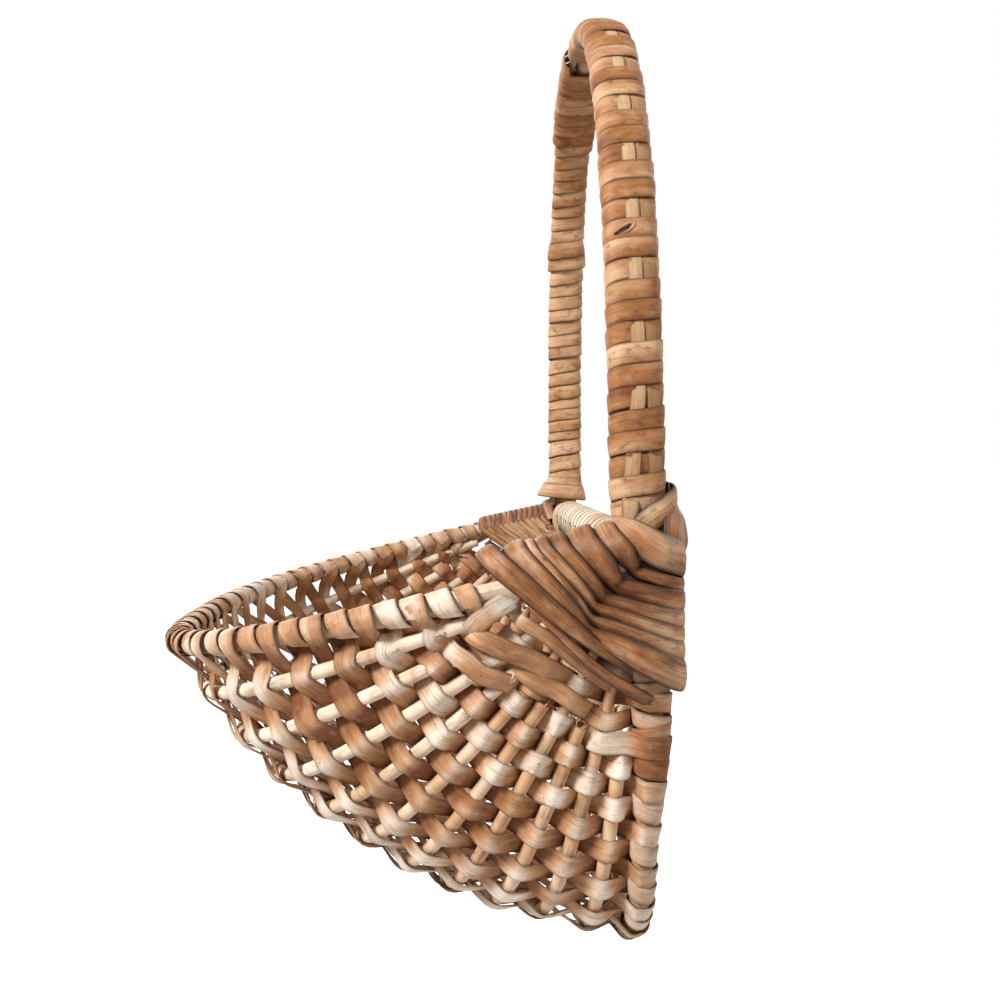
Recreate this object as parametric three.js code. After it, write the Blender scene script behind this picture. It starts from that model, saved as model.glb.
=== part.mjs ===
// A half-round rib basket that hangs flat against a wall, woven from split willow and rattan.
// Millimetres, +Z up. +Y faces the wall, -Y faces the room and X runs along the wall.
// The origin is under the middle of the handle, where the basket hangs on its hook.
// The shape is laid out from the corner line: the X axis through the two rim corners.
import * as THREE from "three";

// Outer shape
const RIM_REACH = 200;
const RIM_SQUARENESS = 2.8;
const RIM_TILT_DEGREES = 12;
const RIM_TAIL = 6;
const HOOP_HALF_WIDTH = 130;
const HOOP_DROP = 156;
const HOOP_SQUARENESS = 5.4;
const BELLY_FULLNESS = 1.7;
const ARCH_HEIGHT = 221;
const ARCH_SQUARENESS = 2.4;

// Rods
const HOOP_RADIUS = 4.2;
const RIM_RADIUS = 3.7;
const BACK_BAR_RADIUS = 4.2;
const RIB_RADIUS = 2.4;
const RIB_TIP_RADIUS = 1.3;
const RIB_TAPER_START = 26;
const RIB_TAPER_END = 95;
const BACK_RIB_RADIUS = 2;
const SIDE_ROD_RADIUS = 1.9;
const ROD_SIDES = 6;
const RIB_SIDES = 5;

// Front ribs, fanned about the corner line between the rim and the foot of the hoop
const RIB_COUNT = 10;
const LONG_RIB_START = 27;
const SHORT_RIB_START = 62;
const SHORT_RIB_STEP = 8;

// Flat strips
const STRIP_THICKNESS = 0.8;
const WEAVER_WIDTH = 6.9;
const BACK_WEAVER_WIDTH = 8;
const LASHING_WIDTH = 5.2;
const HANDLE_WRAP_WIDTH = 6.8;
const SPLINT_WIDTH = 4.7;
const SPLINT_THICKNESS = 0.9;
const SPLINT_COUNT = 2;

// Weaving
const ROW_COUNT = 48;
const ROWS_PER_WEAVER = 4;
const WOVEN_SHARE = 0.755;
const TURN_STEP_DEGREES = 60;
const BACK_RIB_COUNT = 4;
const BACK_ROW_COUNT = 18;
const BACK_ROWS_PER_WEAVER = 6;
const BACK_ROW_INSET = 11.7;
const BACK_HEEL_GAP = 1.6;

// Handle windings, as shares of the handle's length, with the share of a flat side on each loop
const HANDLE_WRAP_PITCH = 8.2;
const HANDLE_WRAPS = [
  { name: "handle_wrap_near_leg", from: 0, to: 0.318 },
  { name: "handle_wrap_arch", from: 0.318, to: 0.618 },
  { name: "handle_wrap_far_shoulder", from: 0.618, to: 0.785 },
  { name: "handle_wrap_far_leg", from: 0.785, to: 1 },
];
const HANDLE_WRAP_FLAT = 0.6;
const HANDLE_START = 9.5;

// Corner lashings
const LASHING_LOOPS = 7;
const LASHING_RIM_STEP = 7.3;
const LASHING_POST_STEP = 6.2;
const LASHING_START = 9.5;
const LASHING_ANGLES = [15, 65, 115, 165, 215];

// Clearances
const CLEARANCE = 0.3;
const WEAVE_CLEARANCE = 0.6;
const TURN_CLEARANCE = 1;
const WRAP_CLEARANCE = 0.4;
const LASHING_CLEARANCE = 0.6;
const RIM_POST_GAP = 2.1;

// How finely curves are divided
const CURVE_SAMPLES = 600;
const HOOP_STATIONS = 52;
const RIM_STATIONS = 30;
const RIB_STATIONS = 22;
const BACK_RIB_STATIONS = 12;
const EASING_PASSES = 60;
const LEAST_RUN = 1;

const RIGHT_ANGLE = Math.PI / 2;
const RIM_TILT = THREE.MathUtils.degToRad(RIM_TILT_DEGREES);
const TO_WALL = new THREE.Vector3(0, 1, 0);
const HALF_STRIP = STRIP_THICKNESS / 2;
const RIM_HALF_WIDTH = HOOP_HALF_WIDTH + HOOP_RADIUS + RIM_POST_GAP + RIM_RADIUS;

// Colours and finish
function finish(name, colour, roughness) {
  const material = new THREE.MeshStandardMaterial({ color: colour, roughness, metalness: 0 });
  material.name = name;
  return material;
}

const barkedRod = () => finish("hoop_rod", 0x9a7147, 0.62);
const ribRod = () => finish("rib_rod", 0xb98d5c, 0.55);
const willowSkein = () => finish("willow_skein", 0xc49a66, 0.6);
const paleSplint = () => finish("pale_splint", 0xe2d3b4, 0.55);
const handleCane = () => finish("handle_cane", 0xb5834c, 0.5);
const cornerCane = () => finish("corner_cane", 0xc0935f, 0.55);

// Curve helpers
function squaredPower(value, squareness) {
  return Math.sign(value) * Math.abs(value) ** (2 / squareness);
}

function bellyReach(angle) {
  const forward = (Math.cos(angle) / RIM_REACH) ** BELLY_FULLNESS;
  const down = (Math.sin(angle) / HOOP_DROP) ** BELLY_FULLNESS;
  return (forward + down) ** (-1 / BELLY_FULLNESS);
}

// A rod of the belly lies in a plane through the corner line, turned down from the horizontal.
function bellyPoint(angle, turn) {
  const share = (angle - RIM_TILT) / (RIGHT_ANGLE - RIM_TILT);
  const halfWidth = THREE.MathUtils.lerp(RIM_HALF_WIDTH, HOOP_HALF_WIDTH, share);
  const squareness = THREE.MathUtils.lerp(RIM_SQUARENESS, HOOP_SQUARENESS, share);
  const reach = bellyReach(angle) * squaredPower(Math.sin(turn), squareness);
  const x = halfWidth * squaredPower(Math.cos(turn), squareness);
  return new THREE.Vector3(x, -reach * Math.cos(angle), -reach * Math.sin(angle));
}

function archPoint(turn) {
  const x = HOOP_HALF_WIDTH * squaredPower(Math.cos(turn), ARCH_SQUARENESS);
  return new THREE.Vector3(x, 0, ARCH_HEIGHT * squaredPower(Math.sin(turn), ARCH_SQUARENESS));
}

function sampleCurve(pointAt, samples) {
  return Array.from({ length: samples + 1 }, (_, i) => pointAt((Math.PI * i) / samples));
}

// Picks stations along dense points so that they stand closer where the curve bends more.
function chooseStations(points, count) {
  const lengths = [0];
  const turns = [0];
  for (let i = 1; i < points.length; i += 1) {
    const step = points[i].clone().sub(points[i - 1]);
    const before = points[i - 1].clone().sub(points[Math.max(i - 2, 0)]);
    lengths.push(lengths[i - 1] + step.length());
    turns.push(turns[i - 1] + (i > 1 ? step.angleTo(before) : 0));
  }
  const last = points.length - 1;
  const weight = points.map((_, i) => lengths[i] / lengths[last] + turns[i] / turns[last]);
  const stations = [];
  let cursor = 0;
  for (let i = 0; i <= count; i += 1) {
    const goal = (2 * i) / count;
    while (cursor < last && weight[cursor] < goal - 1e-9) {
      cursor += 1;
    }
    stations.push(points[cursor].clone());
  }
  return stations;
}

// A rod's centre line as a chain of straight runs, addressed by its length.
class Line {
  constructor(points) {
    this.points = points;
    this.marks = [0];
    for (let i = 1; i < points.length; i += 1) {
      this.marks.push(this.marks[i - 1] + points[i].distanceTo(points[i - 1]));
    }
    this.length = this.marks[this.marks.length - 1];
  }

  runAt(length) {
    let run = 0;
    while (run < this.points.length - 2 && this.marks[run + 1] < length) {
      run += 1;
    }
    return run;
  }

  pointAt(length) {
    const run = this.runAt(length);
    const share = (length - this.marks[run]) / (this.marks[run + 1] - this.marks[run]);
    return this.points[run].clone().lerp(this.points[run + 1], share);
  }

  directionAt(length) {
    const run = this.runAt(length);
    return this.points[run + 1].clone().sub(this.points[run]).normalize();
  }

  // The bend's direction at each station, blended along the runs between them
  smoothDirectionAt(length) {
    const run = this.runAt(length);
    const share = (length - this.marks[run]) / (this.marks[run + 1] - this.marks[run]);
    return this.stationDirection(run).lerp(this.stationDirection(run + 1), share).normalize();
  }

  stationDirection(index) {
    const before = this.points[Math.max(index - 1, 0)];
    const after = this.points[Math.min(index + 1, this.points.length - 1)];
    const here = this.points[index];
    const arriving = here.clone().sub(before).normalize();
    const leaving = after.clone().sub(here).normalize();
    return arriving.add(leaving).normalize();
  }

  // From the middle, -1 at the far corner to 1 at the near corner
  atShare(share) {
    return (this.length * (1 - share)) / 2;
  }

  between(start, end) {
    const first = start + LEAST_RUN;
    const last = end - LEAST_RUN;
    const inner = this.points.filter((_, i) => this.marks[i] > first && this.marks[i] < last);
    return new Line([this.pointAt(start), ...inner, this.pointAt(end)]);
  }
}

// Solid builders
function polygon(sides, radius, firstAngle = Math.PI / sides) {
  return Array.from({ length: sides }, (_, i) => {
    const angle = firstAngle + (2 * Math.PI * i) / sides;
    return [radius * Math.cos(angle), radius * Math.sin(angle)];
  });
}

function rectangle(width, thickness) {
  const a = width / 2;
  const b = thickness / 2;
  return [[a, b], [-a, b], [-a, -b], [a, -b]];
}

function signedVolume(points, faces) {
  const cross = new THREE.Vector3();
  const volumes = faces.map(([a, b, c]) => points[a].dot(cross.crossVectors(points[b], points[c])));
  return volumes.reduce((sum, volume) => sum + volume, 0);
}

// Each section is { centre, across, up, outline }: an outline of pairs in its own two directions.
// Opposite sides are split along the same diagonal, so that a thin twisted strip doesn't cut itself.
function skin(sections, closed = false) {
  const sides = sections[0].outline.length;
  const points = sections.flatMap(({ centre, across, up, outline }) => (
    outline.map(([a, b]) => centre.clone().addScaledVector(across, a).addScaledVector(up, b))
  ));
  const faces = [];
  const runs = closed ? sections.length : sections.length - 1;
  for (let i = 0; i < runs; i += 1) {
    const next = (i + 1) % sections.length;
    for (let j = 0; j < sides; j += 1) {
      const k = (j + 1) % sides;
      const corners = [i * sides + j, next * sides + j, next * sides + k, i * sides + k];
      const [a, b, c, d] = j < sides / 2 ? [...corners.slice(1), corners[0]] : corners;
      faces.push([a, b, c], [a, c, d]);
    }
  }
  if (!closed) {
    const end = (sections.length - 1) * sides;
    for (let j = 1; j < sides - 1; j += 1) {
      faces.push([0, j, j + 1]);
      faces.push([end, end + j + 1, end + j]);
    }
  }
  const outward = signedVolume(points, faces) > 0 ? faces : faces.map(([a, b, c]) => [a, c, b]);
  const geometry = new THREE.BufferGeometry();
  const numbers = points.flatMap((point) => point.toArray());
  geometry.setAttribute("position", new THREE.Float32BufferAttribute(numbers, 3));
  geometry.setIndex(outward.flat());
  geometry.computeVertexNormals();
  return geometry;
}

// A rod whose line lies in one plane; radiusAt takes the length along the line.
function rodAlong(line, planeNormal, sides, radiusAt) {
  return skin(line.points.map((centre, i) => {
    const across = planeNormal.clone().cross(line.stationDirection(i)).normalize();
    return { centre, across, up: planeNormal, outline: polygon(sides, radiusAt(line.marks[i])) };
  }));
}

// A flat strip through stops { point, out }, with one or other of its flat sides facing out.
function stripSections(stops, width, thickness) {
  const path = new Line(stops.map((stop) => stop.point));
  const acrossBefore = new THREE.Vector3();
  return stops.map(({ point, out }, i) => {
    const along = path.stationDirection(i);
    const across = along.clone().cross(out).normalize();
    if (across.dot(acrossBefore) < 0) {
      across.negate();
    }
    acrossBefore.copy(across);
    const up = across.clone().cross(along).normalize();
    return { centre: point, across, up, outline: rectangle(width, thickness) };
  });
}

function strip(stops, width, thickness = STRIP_THICKNESS) {
  return skin(stripSections(stops, width, thickness));
}

// The least distance between the edges of turns that lie over half a loop apart
function leastGap(sections, stopsPerLoop) {
  const edges = sections.map(({ centre, across, outline }) => (
    [outline[0][0], outline[1][0]].map((a) => centre.clone().addScaledVector(across, a))
  ));
  let least = Infinity;
  for (let i = 0; i < edges.length; i += 1) {
    for (let j = i + Math.floor(stopsPerLoop / 2) + 1; j < edges.length; j += 1) {
      for (const a of edges[i]) {
        for (const b of edges[j]) {
          least = Math.min(least, a.distanceTo(b));
        }
      }
    }
  }
  return least;
}

function winding(name, stops, width, stopsPerLoop) {
  const sections = stripSections(stops, width, STRIP_THICKNESS);
  console.log(`${name}: least gap to itself ${leastGap(sections, stopsPerLoop).toFixed(2)} mm`);
  return skin(sections);
}

// Assembly
const basket = new THREE.Group();
basket.name = "wall_basket";

function add(name, geometry, material) {
  const mesh = new THREE.Mesh(geometry, material);
  mesh.name = name;
  basket.add(mesh);
}

// Main hoop: one bent rod that is the handle arch, both posts and the foot of the flat back
const archLine = new Line(chooseStations(sampleCurve(archPoint, CURVE_SAMPLES), HOOP_STATIONS / 2));
const footCurve = sampleCurve((turn) => bellyPoint(RIGHT_ANGLE, turn), CURVE_SAMPLES);
const footLine = new Line(chooseStations(footCurve, HOOP_STATIONS / 2));

function addHoop() {
  const arch = archLine.points.slice(0, -1);
  const foot = footLine.points.slice(1).reverse();
  const loop = [...arch, ...foot];
  const sections = loop.map((centre, i) => {
    const before = loop[(i + loop.length - 1) % loop.length];
    const after = loop[(i + 1) % loop.length];
    const arriving = centre.clone().sub(before).normalize();
    const leaving = after.clone().sub(centre).normalize();
    const across = arriving.add(leaving).cross(TO_WALL).normalize();
    return { centre, across, up: TO_WALL, outline: polygon(ROD_SIDES, HOOP_RADIUS, 0) };
  });
  add("hoop_rod", skin(sections, true), barkedRod());
}

// Rim bow: its ends pass outside the hoop's posts and stop just behind them
const rimNormal = new THREE.Vector3(0, Math.sin(RIM_TILT), -Math.cos(RIM_TILT));
const rimCurve = sampleCurve((turn) => bellyPoint(RIM_TILT, turn), CURVE_SAMPLES);
const rimLine = new Line(chooseStations(rimCurve, RIM_STATIONS));

function addRim() {
  const back = new THREE.Vector3(0, Math.cos(RIM_TILT), Math.sin(RIM_TILT)).multiplyScalar(RIM_TAIL);
  const first = rimLine.points[0].clone().add(back);
  const last = rimLine.points[rimLine.points.length - 1].clone().add(back);
  const whole = new Line([first, ...rimLine.points, last]);
  add("rim_bow", rodAlong(whole, rimNormal, ROD_SIDES, () => RIM_RADIUS), barkedRod());
}

// Back bar: a straight rod between the posts on the corner line
const backBarHalf = HOOP_HALF_WIDTH - HOOP_RADIUS - CLEARANCE;

function addBackBar() {
  const ends = new Line([new THREE.Vector3(backBarHalf, 0, 0), new THREE.Vector3(-backBarHalf, 0, 0)]);
  add("back_bar", rodAlong(ends, TO_WALL, ROD_SIDES, () => BACK_BAR_RADIUS), barkedRod());
}

// Front ribs: odd ones reach into the corner lashings, even ones are let in further along
function ribAngle(index) {
  return THREE.MathUtils.lerp(RIM_TILT, RIGHT_ANGLE, index / (RIB_COUNT + 1));
}

// A tip begins half a strip beyond where one has room to pass between it and the rim or the hoop.
function ribStart(index) {
  const letIn = index % 2 === 0;
  const staggered = SHORT_RIB_START + SHORT_RIB_STEP * Math.max(0, RIB_COUNT / 2 - index);
  const planned = letIn ? staggered : LONG_RIB_START;
  const room = RIB_TIP_RADIUS + WEAVE_CLEARANCE + 2 * STRIP_THICKNESS + TURN_CLEARANCE;
  const fromRim = (RIM_RADIUS + room) / Math.sin(ribAngle(index) - RIM_TILT);
  const fromHoop = (HOOP_RADIUS + room) / Math.sin(RIGHT_ANGLE - ribAngle(index));
  return Math.max(planned, fromRim + WEAVER_WIDTH / 2, fromHoop + WEAVER_WIDTH / 2);
}

function makeRib(index) {
  const angle = ribAngle(index);
  const curve = sampleCurve((turn) => bellyPoint(angle, turn), CURVE_SAMPLES);
  const full = new Line(chooseStations(curve, RIB_STATIONS));
  const start = ribStart(index);
  const normal = new THREE.Vector3(0, Math.sin(angle), -Math.cos(angle));
  const radiusFromCorner = (distance) => {
    const tapered = (distance - RIB_TAPER_START) / (RIB_TAPER_END - RIB_TAPER_START);
    return THREE.MathUtils.lerp(RIB_TIP_RADIUS, RIB_RADIUS, THREE.MathUtils.clamp(tapered, 0, 1));
  };
  const radiusAt = (length) => radiusFromCorner(Math.min(length, full.length - length));
  const clearAt = (length) => radiusAt(length) + WEAVE_CLEARANCE;
  return { line: full, start, normal, radiusAt, clearAt };
}

const ribs = Array.from({ length: RIB_COUNT }, (_, i) => makeRib(i + 1));

function addRibs() {
  ribs.forEach((rib, i) => {
    const body = rib.line.between(rib.start, rib.line.length - rib.start);
    const geometry = rodAlong(body, rib.normal, RIB_SIDES, (length) => rib.radiusAt(length + rib.start));
    add(`rib_${String(i + 1).padStart(2, "0")}`, geometry, ribRod());
  });
}

// Front weavers: long flat skeins that go back and forth between the rim and the hoop's foot
const rimMember = { line: rimLine, start: 0, clearAt: () => RIM_RADIUS + TURN_CLEARANCE };
const footMember = { line: footLine, start: 0, clearAt: () => HOOP_RADIUS + TURN_CLEARANCE };

// Where a row at this share of the width crosses each rod that reaches it
function crossings(share) {
  const reached = [rimMember, ...ribs, footMember].filter((member) => {
    const length = member.line.atShare(share);
    const firstCrossed = member.start - WEAVER_WIDTH / 2 - CLEARANCE;
    return Math.min(length, member.line.length - length) > firstCrossed;
  });
  const centres = reached.map((member) => member.line.pointAt(member.line.atShare(share)));
  return reached.map((member, i) => {
    const length = member.line.atShare(share);
    const before = centres[Math.max(i - 1, 0)];
    const after = centres[Math.min(i + 1, centres.length - 1)];
    const rowWay = after.clone().sub(before).normalize();
    const rod = member.line.directionAt(length);
    const out = rowWay.clone().cross(rod).normalize();
    const outward = out.dot(centres[i]) > 0 ? 1 : -1;
    out.multiplyScalar(outward);
    const clear = member.clearAt(length) + HALF_STRIP;
    return { centre: centres[i], rod, out, rowWay, clear };
  });
}

// Points round a rim or hoop rod, from one side of the weave over the rod to the other
function turnStops(from, to, fromSide, away) {
  const step = THREE.MathUtils.degToRad(TURN_STEP_DEGREES);
  const start = fromSide > 0 ? -step / 2 : Math.PI + step / 2;
  const way = fromSide > 0 ? 1 : -1;
  const count = Math.round((Math.PI + step) / step);
  return Array.from({ length: count + 1 }, (_, i) => {
    const angle = start + way * step * i;
    const share = i / count;
    const centre = from.centre.clone().lerp(to.centre, share);
    const outward = from.out.clone().lerp(to.out, share).normalize();
    const past = from.rowWay.clone().lerp(to.rowWay, share).multiplyScalar(away);
    past.addScaledVector(outward, -past.dot(outward)).normalize();
    const out = outward.multiplyScalar(Math.cos(angle)).addScaledVector(past, Math.sin(angle));
    return { point: centre.addScaledVector(out, from.clear / Math.cos(step / 2)), out };
  });
}

function distanceToRod(crossing, a, b) {
  const way = b.clone().sub(a);
  const normal = way.cross(crossing.rod).normalize();
  return Math.abs(a.clone().sub(crossing.centre).dot(normal));
}

// A strip bulges at each rod just as far as its straight runs need to clear the rod.
function easeRow(ribCrossings, sides, startPoint, endPoint) {
  const offsets = ribCrossings.map((crossing) => crossing.clear);
  const pointOf = (i) => {
    if (i < 0) {
      return startPoint;
    }
    if (i >= offsets.length) {
      return endPoint;
    }
    return ribCrossings[i].centre.clone().addScaledVector(ribCrossings[i].out, sides[i] * offsets[i]);
  };
  for (let pass = 0; pass < EASING_PASSES; pass += 1) {
    for (let i = 0; i < offsets.length; i += 1) {
      const before = distanceToRod(ribCrossings[i], pointOf(i - 1), pointOf(i));
      const after = distanceToRod(ribCrossings[i], pointOf(i), pointOf(i + 1));
      offsets[i] *= Math.max(1, ribCrossings[i].clear / Math.min(before, after));
    }
  }
  return ribCrossings.map((crossing, i) => ({ point: pointOf(i), out: crossing.out.clone() }));
}

function rowShare(row) {
  return WOVEN_SHARE * ((2 * (row + 0.5)) / ROW_COUNT - 1);
}

// A row ends on the side it didn't begin on, even where it misses a rib that is let in further along.
function rowPlan(row) {
  const all = crossings(rowShare(row));
  const rimSide = row % 2 === 0 ? 1 : -1;
  const sides = all.map((_, i) => (i % 2 === 0 ? rimSide : -rimSide));
  sides[sides.length - 1] = -rimSide;
  return { all, sides };
}

function weaverStops(firstRow) {
  const plans = Array.from({ length: ROWS_PER_WEAVER }, (_, i) => rowPlan(firstRow + i));
  const turns = [];
  for (let i = 0; i <= ROWS_PER_WEAVER; i += 1) {
    const atRim = i % 2 === 0;
    const arriving = plans[Math.max(i - 1, 0)];
    const leaving = plans[Math.min(i, ROWS_PER_WEAVER - 1)];
    const pick = (list) => (atRim ? list[0] : list[list.length - 1]);
    const side = i === 0 ? -pick(leaving.sides) : pick(arriving.sides);
    turns.push(turnStops(pick(arriving.all), pick(leaving.all), side, atRim ? -1 : 1));
  }
  turns[0] = turns[0].slice(1);
  turns[ROWS_PER_WEAVER] = turns[ROWS_PER_WEAVER].slice(0, -1);
  const stops = [...turns[0]];
  plans.forEach(({ all, sides }, i) => {
    const down = i % 2 === 0;
    const inner = all.slice(1, -1);
    const innerSides = sides.slice(1, -1);
    if (!down) {
      inner.reverse();
      innerSides.reverse();
    }
    const next = turns[i + 1];
    stops.push(...easeRow(inner, innerSides, stops[stops.length - 1].point, next[0].point));
    stops.push(...next);
  });
  return stops;
}

function addWeavers() {
  for (let i = 0; i < ROW_COUNT / ROWS_PER_WEAVER; i += 1) {
    const name = `weaver_${String(i + 1).padStart(2, "0")}`;
    add(name, strip(weaverStops(i * ROWS_PER_WEAVER), WEAVER_WIDTH), willowSkein());
  }
}

// Flat back: curved ribs nested inside the hoop, woven with upright skeins hung from the back bar
const heelInset = HOOP_RADIUS + BACK_RIB_RADIUS + 2 * (STRIP_THICKNESS + TURN_CLEARANCE) + BACK_HEEL_GAP;
const backRibStep = 2 * (BACK_RIB_RADIUS + STRIP_THICKNESS);
const backRibStart = BACK_BAR_RADIUS + BACK_RIB_RADIUS + STRIP_THICKNESS + TURN_CLEARANCE;

function backRibHalfWidth(index) {
  return HOOP_HALF_WIDTH - heelInset - (BACK_RIB_COUNT - index) * backRibStep;
}

function backRibPoint(index, turn) {
  const halfWidth = backRibHalfWidth(index);
  const drop = ((HOOP_DROP - heelInset) * index) / BACK_RIB_COUNT;
  const x = halfWidth * squaredPower(Math.cos(turn), HOOP_SQUARENESS);
  return new THREE.Vector3(x, 0, -drop * squaredPower(Math.sin(turn), HOOP_SQUARENESS));
}

function makeBackRib(index) {
  const curve = sampleCurve((turn) => backRibPoint(index, turn), CURVE_SAMPLES);
  const below = curve.filter((point) => point.z < -backRibStart);
  return new Line(chooseStations(below, BACK_RIB_STATIONS));
}

const backRibs = Array.from({ length: BACK_RIB_COUNT }, (_, i) => makeBackRib(i + 1));

function addBackRibs() {
  backRibs.forEach((line, i) => {
    add(`back_rib_${i + 1}`, rodAlong(line, TO_WALL, RIB_SIDES, () => BACK_RIB_RADIUS), ribRod());
  });
}

// The outermost rows hang well inside the bend of the shortest rib.
const backRowPitch = (2 * (backRibHalfWidth(1) - BACK_ROW_INSET)) / (BACK_ROW_COUNT - 1);

function heightOn(line, x) {
  const run = line.points.findIndex((point, i) => i > 0 && point.x <= x);
  const a = line.points[run - 1];
  const b = line.points[run];
  return THREE.MathUtils.lerp(a.z, b.z, (a.x - x) / (a.x - b.x));
}

function backCrossings(x) {
  const heights = [0, ...backRibs.map((line) => heightOn(line, x))];
  return heights.map((z, i) => {
    const radius = i === 0 ? BACK_BAR_RADIUS : BACK_RIB_RADIUS;
    return {
      centre: new THREE.Vector3(x, 0, z),
      rod: new THREE.Vector3(-1, 0, 0),
      out: TO_WALL,
      rowWay: new THREE.Vector3(0, 0, -1),
      clear: radius + WEAVE_CLEARANCE + HALF_STRIP,
    };
  });
}

function backWeaverStops(firstRow) {
  const stops = [];
  for (let i = 0; i < BACK_ROWS_PER_WEAVER; i += 1) {
    const row = firstRow + i;
    const x = (row - (BACK_ROW_COUNT - 1) / 2) * backRowPitch;
    const all = backCrossings(x);
    const side = row % 2 === 0 ? 1 : -1;
    const sides = all.map((_, k) => (k % 2 === 0 ? side : -side));
    const down = i % 2 === 0;
    if (!down) {
      all.reverse();
      sides.reverse();
    }
    const last = all.length - 1;
    const nextX = i < BACK_ROWS_PER_WEAVER - 1 ? x + backRowPitch : x;
    const next = backCrossings(nextX)[down ? last : 0];
    if (i === 0) {
      stops.push(...turnStops(all[0], all[0], -sides[0], -1).slice(1));
    }
    const turn = turnStops(all[last], next, sides[last], down ? 1 : -1);
    const before = stops[stops.length - 1].point;
    stops.push(...easeRow(all.slice(1, -1), sides.slice(1, -1), before, turn[0].point));
    stops.push(...turn);
  }
  return stops.slice(0, -1);
}

function addBackWeavers() {
  for (let i = 0; i < BACK_ROW_COUNT / BACK_ROWS_PER_WEAVER; i += 1) {
    const stops = backWeaverStops(i * BACK_ROWS_PER_WEAVER);
    add(`back_weaver_${i + 1}`, strip(stops, BACK_WEAVER_WIDTH), willowSkein());
  }
}

// Handle: side rods and pale splints on the hoop's arch, bound by cane in four lengths
const splintStart = HANDLE_START - SPLINT_WIDTH / 2;
const handleBody = archLine.between(splintStart, archLine.length - splintStart);
const splintHeight = HOOP_RADIUS + CLEARANCE + SPLINT_THICKNESS / 2;
const sideRodPlace = HOOP_RADIUS + CLEARANCE + SIDE_ROD_RADIUS;
const handleWrapAcross = sideRodPlace + SIDE_ROD_RADIUS + WRAP_CLEARANCE + HALF_STRIP;
const handleWrapUp = splintHeight + SPLINT_THICKNESS / 2 + WRAP_CLEARANCE + HALF_STRIP;

function outOfArch(direction) {
  return TO_WALL.clone().cross(direction).normalize();
}

function addSideRods() {
  [["front", -1], ["wall", 1]].forEach(([name, side]) => {
    const shift = TO_WALL.clone().multiplyScalar(side * sideRodPlace);
    const line = new Line(handleBody.points.map((point) => point.clone().add(shift)));
    add(`handle_side_rod_${name}`, rodAlong(line, TO_WALL, RIB_SIDES, () => SIDE_ROD_RADIUS), ribRod());
  });
}

function addSplints() {
  for (let i = 0; i < SPLINT_COUNT; i += 1) {
    const place = (i - (SPLINT_COUNT - 1) / 2) * (SPLINT_WIDTH + CLEARANCE);
    const sections = handleBody.points.map((point, k) => {
      const up = outOfArch(handleBody.stationDirection(k));
      const centre = point.clone().addScaledVector(up, splintHeight).addScaledVector(TO_WALL, place);
      return { centre, across: TO_WALL, up, outline: rectangle(SPLINT_WIDTH, SPLINT_THICKNESS) };
    });
    add(`handle_splint_${i + 1}`, skin(sections), paleSplint());
  }
}

// Each loop is a rectangle round the handle with its corners cut off.
function handleWrapCorners() {
  const quarter = [[1, HANDLE_WRAP_FLAT], [HANDLE_WRAP_FLAT, 1]];
  const half = [...quarter, ...quarter.map(([a, b]) => [-a, b]).reverse()];
  const whole = [...half, ...half.map(([a, b]) => [-a, -b])];
  return whole.map(([a, b]) => [a * handleWrapAcross, b * handleWrapUp]);
}

function handleWrapStops(start, end) {
  const corners = handleWrapCorners();
  const loops = Math.floor((end - start) / HANDLE_WRAP_PITCH);
  const count = loops * corners.length;
  return Array.from({ length: count + 1 }, (_, i) => {
    const length = THREE.MathUtils.lerp(start, end, i / count);
    const [a, b] = corners[i % corners.length];
    const up = outOfArch(archLine.smoothDirectionAt(length));
    const point = archLine.pointAt(length).addScaledVector(TO_WALL, a).addScaledVector(up, b);
    const out = up.multiplyScalar(b / handleWrapUp).addScaledVector(TO_WALL, a / handleWrapAcross);
    return { point, out: out.normalize() };
  });
}

function addHandleWraps() {
  const span = archLine.length - 2 * HANDLE_START;
  const inset = (HANDLE_WRAP_WIDTH + WRAP_CLEARANCE) / 2;
  const loopStops = handleWrapCorners().length;
  HANDLE_WRAPS.forEach(({ name, from, to }) => {
    const start = HANDLE_START + span * from + (from > 0 ? inset : 0);
    const end = HANDLE_START + span * to - (to < 1 ? inset : 0);
    add(name, winding(name, handleWrapStops(start, end), HANDLE_WRAP_WIDTH, loopStops), handleCane());
  });
}

// Corner lashings: one long cane wound round rim and post, holding the tips of the long ribs
const lashingLoopStops = 2 * LASHING_ANGLES.length;

function lashingStops(side) {
  const stops = [];
  const rimAway = rimNormal.clone().negate();
  for (let i = 0; i < LASHING_LOOPS; i += 1) {
    LASHING_ANGLES.forEach((degrees, k) => {
      const distance = LASHING_START + LASHING_RIM_STEP * (i + k / lashingLoopStops);
      stops.push(ringStop(rimLine, distance, side, rimAway, RIM_RADIUS, 180 - degrees));
    });
    LASHING_ANGLES.forEach((degrees, k) => {
      const distance = LASHING_START + LASHING_POST_STEP * (i + 0.5 + k / lashingLoopStops);
      stops.push(ringStop(footLine, distance, side, TO_WALL, HOOP_RADIUS, degrees));
    });
  }
  return stops;
}

// A point on a ring round a rod, turned from straight out of the basket towards the side away from it
function ringStop(line, distance, side, away, radius, degrees) {
  const length = side > 0 ? distance : line.length - distance;
  const centre = line.pointAt(length);
  const out = away.clone().cross(line.directionAt(length)).normalize();
  out.multiplyScalar(Math.sign(out.x * centre.x));
  const angle = THREE.MathUtils.degToRad(degrees);
  const way = out.clone().multiplyScalar(Math.cos(angle)).addScaledVector(away, Math.sin(angle));
  const halfStep = THREE.MathUtils.degToRad(LASHING_ANGLES[1] - LASHING_ANGLES[0]) / 2;
  const reach = (radius + LASHING_CLEARANCE + HALF_STRIP) / Math.cos(halfStep);
  return { point: centre.addScaledVector(way, reach), out: way };
}

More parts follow.
